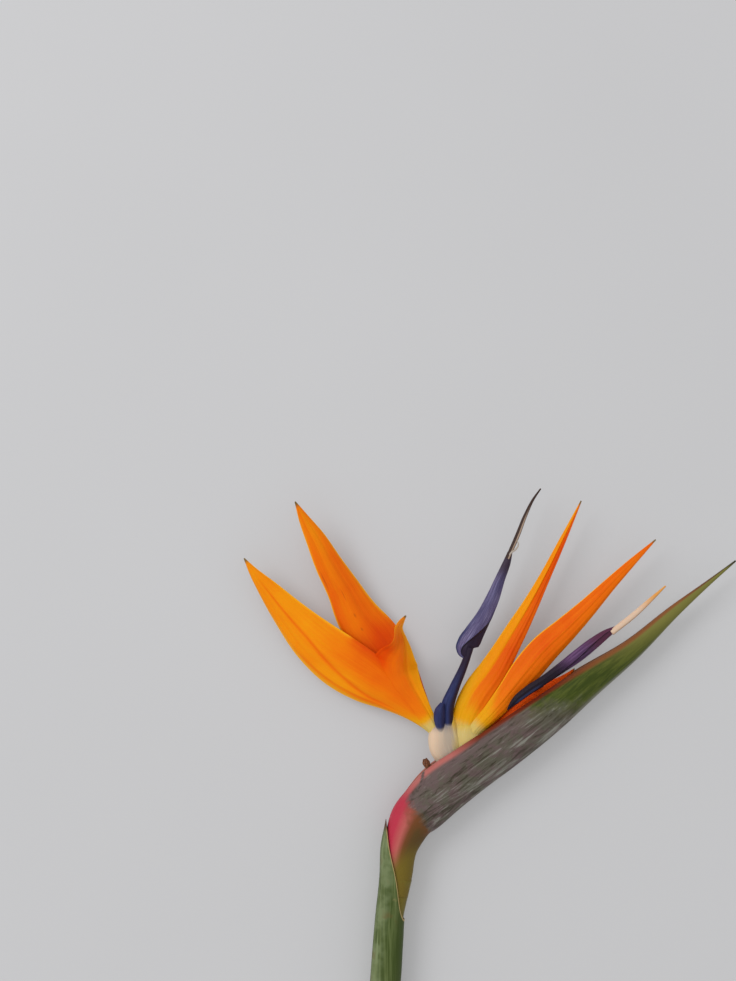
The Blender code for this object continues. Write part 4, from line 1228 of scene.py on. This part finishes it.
class FLOWER_OT_sheath(Operator):
    """Build the leafy sheath round the upper stem"""
    bl_idname = "flower.sheath"
    bl_label = "Sheath"

    def execute(self, context):
        finish = sheath_finish(context.scene.flower_stem)
        skin("sheath_leaf", [sheath_shell()], finish, "stem_sheath")
        return {"FINISHED"}


class FLOWER_OT_bract(Operator):
    """Build the dried scrap of bract at the corner of the spathe"""
    bl_idname = "flower.bract"
    bl_label = "Dried bract"

    def execute(self, context):
        def crumple(u, v):
            return 0.25 * np.sin(9 * v + 7 * u) * ease(u, 0.1, 0.5)
        shell = blade_shell(DRIED_BRACT, 0.6, *GRIDS["bract"], crumple)
        finish = bract_finish(context.scene.flower_stem)
        skin("dried_bract_scrap", [shell], finish, "dried_bract")
        return {"FINISHED"}


class FLOWER_OT_stage(Operator):
    """Set the table, the soft lights and the camera above it"""
    bl_idname = "flower.stage"
    bl_label = "Stage"

    def execute(self, context):
        s = context.scene.flower_stage
        far = TABLE_REACH
        mesh = bpy.data.meshes.new("table")
        mesh.from_pydata([(-far, -far, 0), (far, -far, 0), (far, far, 0), (-far, far, 0)], [],
                         [(0, 1, 2, 3)])
        mesh.materials.append(table_finish(s))
        table = bpy.data.objects.new("table", mesh)
        context.scene.collection.objects.link(table)

        world = bpy.data.worlds.new("room")
        world.use_nodes = True
        sky = world.node_tree.nodes["Background"]
        sky.inputs[0].default_value = (1.0, 1.0, 1.0, 1.0)
        sky.inputs[1].default_value = s.fill
        context.scene.world = world

        lamp = bpy.data.lights.new("window", "AREA")
        lamp.shape = "DISK"
        lamp.size = LAMP_SIZE
        lamp.energy = s.key
        window = bpy.data.objects.new("window", lamp)
        context.scene.collection.objects.link(window)
        aim(window, NECK + LAMP_PLACE, NECK + LAMP_TARGET)

        camera = bpy.data.cameras.new("above")
        camera.lens = LENS
        camera.sensor_width = SENSOR
        camera.sensor_fit = "AUTO"
        camera.clip_start = 0.05
        camera.clip_end = 20.0
        above = bpy.data.objects.new("above", camera)
        context.scene.collection.objects.link(above)
        above.location = NECK + VIEW_CENTRE + np.array([0, 0, s.span * LENS / SENSOR])
        above.rotation_euler = (0, 0, 0)
        context.scene.camera = above
        context.scene.view_settings.view_transform = "Standard"
        context.scene.view_settings.look = "None"
        return {"FINISHED"}


def aim(obj, place, target):
    """Puts an object at a place with its -Z axis towards the target."""
    obj.location = place
    obj.rotation_euler = Vector(target - place).to_track_quat("-Z", "Y").to_euler()


class FLOWER_PT_organs(Panel):
    """Lists the flower's organs and their settings"""
    bl_label = "Bird of paradise"
    bl_idname = "FLOWER_PT_organs"
    bl_space_type = "VIEW_3D"
    bl_region_type = "UI"
    bl_category = "Flower"

    def draw(self, context):
        for operator in OPERATORS:
            self.layout.operator(operator.bl_idname)
        for key, group in SETTINGS.items():
            box = self.layout.box()
            box.label(text=key.replace("flower_", "").title())
            for name in group.__annotations__:
                box.prop(getattr(context.scene, key), name)


SETTINGS = {
    "flower_sepals": SepalSettings,
    "flower_bases": BaseSettings,
    "flower_petals": PetalSettings,
    "flower_styles": StyleSettings,
    "flower_spathe": SpatheSettings,
    "flower_stem": StemSettings,
    "flower_stage": StageSettings,
}
OPERATORS = [FLOWER_OT_stem, FLOWER_OT_sheath, FLOWER_OT_spathe, FLOWER_OT_bract, FLOWER_OT_bases,
             FLOWER_OT_sepals, FLOWER_OT_petals, FLOWER_OT_styles, FLOWER_OT_stage]


def register():
    for cls in [*SETTINGS.values(), *OPERATORS, FLOWER_PT_organs]:
        bpy.utils.register_class(cls)
    for key, group in SETTINGS.items():
        setattr(bpy.types.Scene, key, PointerProperty(type=group))


def unregister():
    for key in SETTINGS:
        delattr(bpy.types.Scene, key)
    for cls in reversed([*SETTINGS.values(), *OPERATORS, FLOWER_PT_organs]):
        bpy.utils.unregister_class(cls)


def main():
    """Builds everything in order."""
    register()
    bpy.ops.flower.stem()
    bpy.ops.flower.sheath()
    bpy.ops.flower.spathe()
    bpy.ops.flower.bract()
    bpy.ops.flower.bases()
    bpy.ops.flower.sepals()
    bpy.ops.flower.petals()
    bpy.ops.flower.styles()
    bpy.ops.flower.stage()


if __name__ == "__main__":
    main()
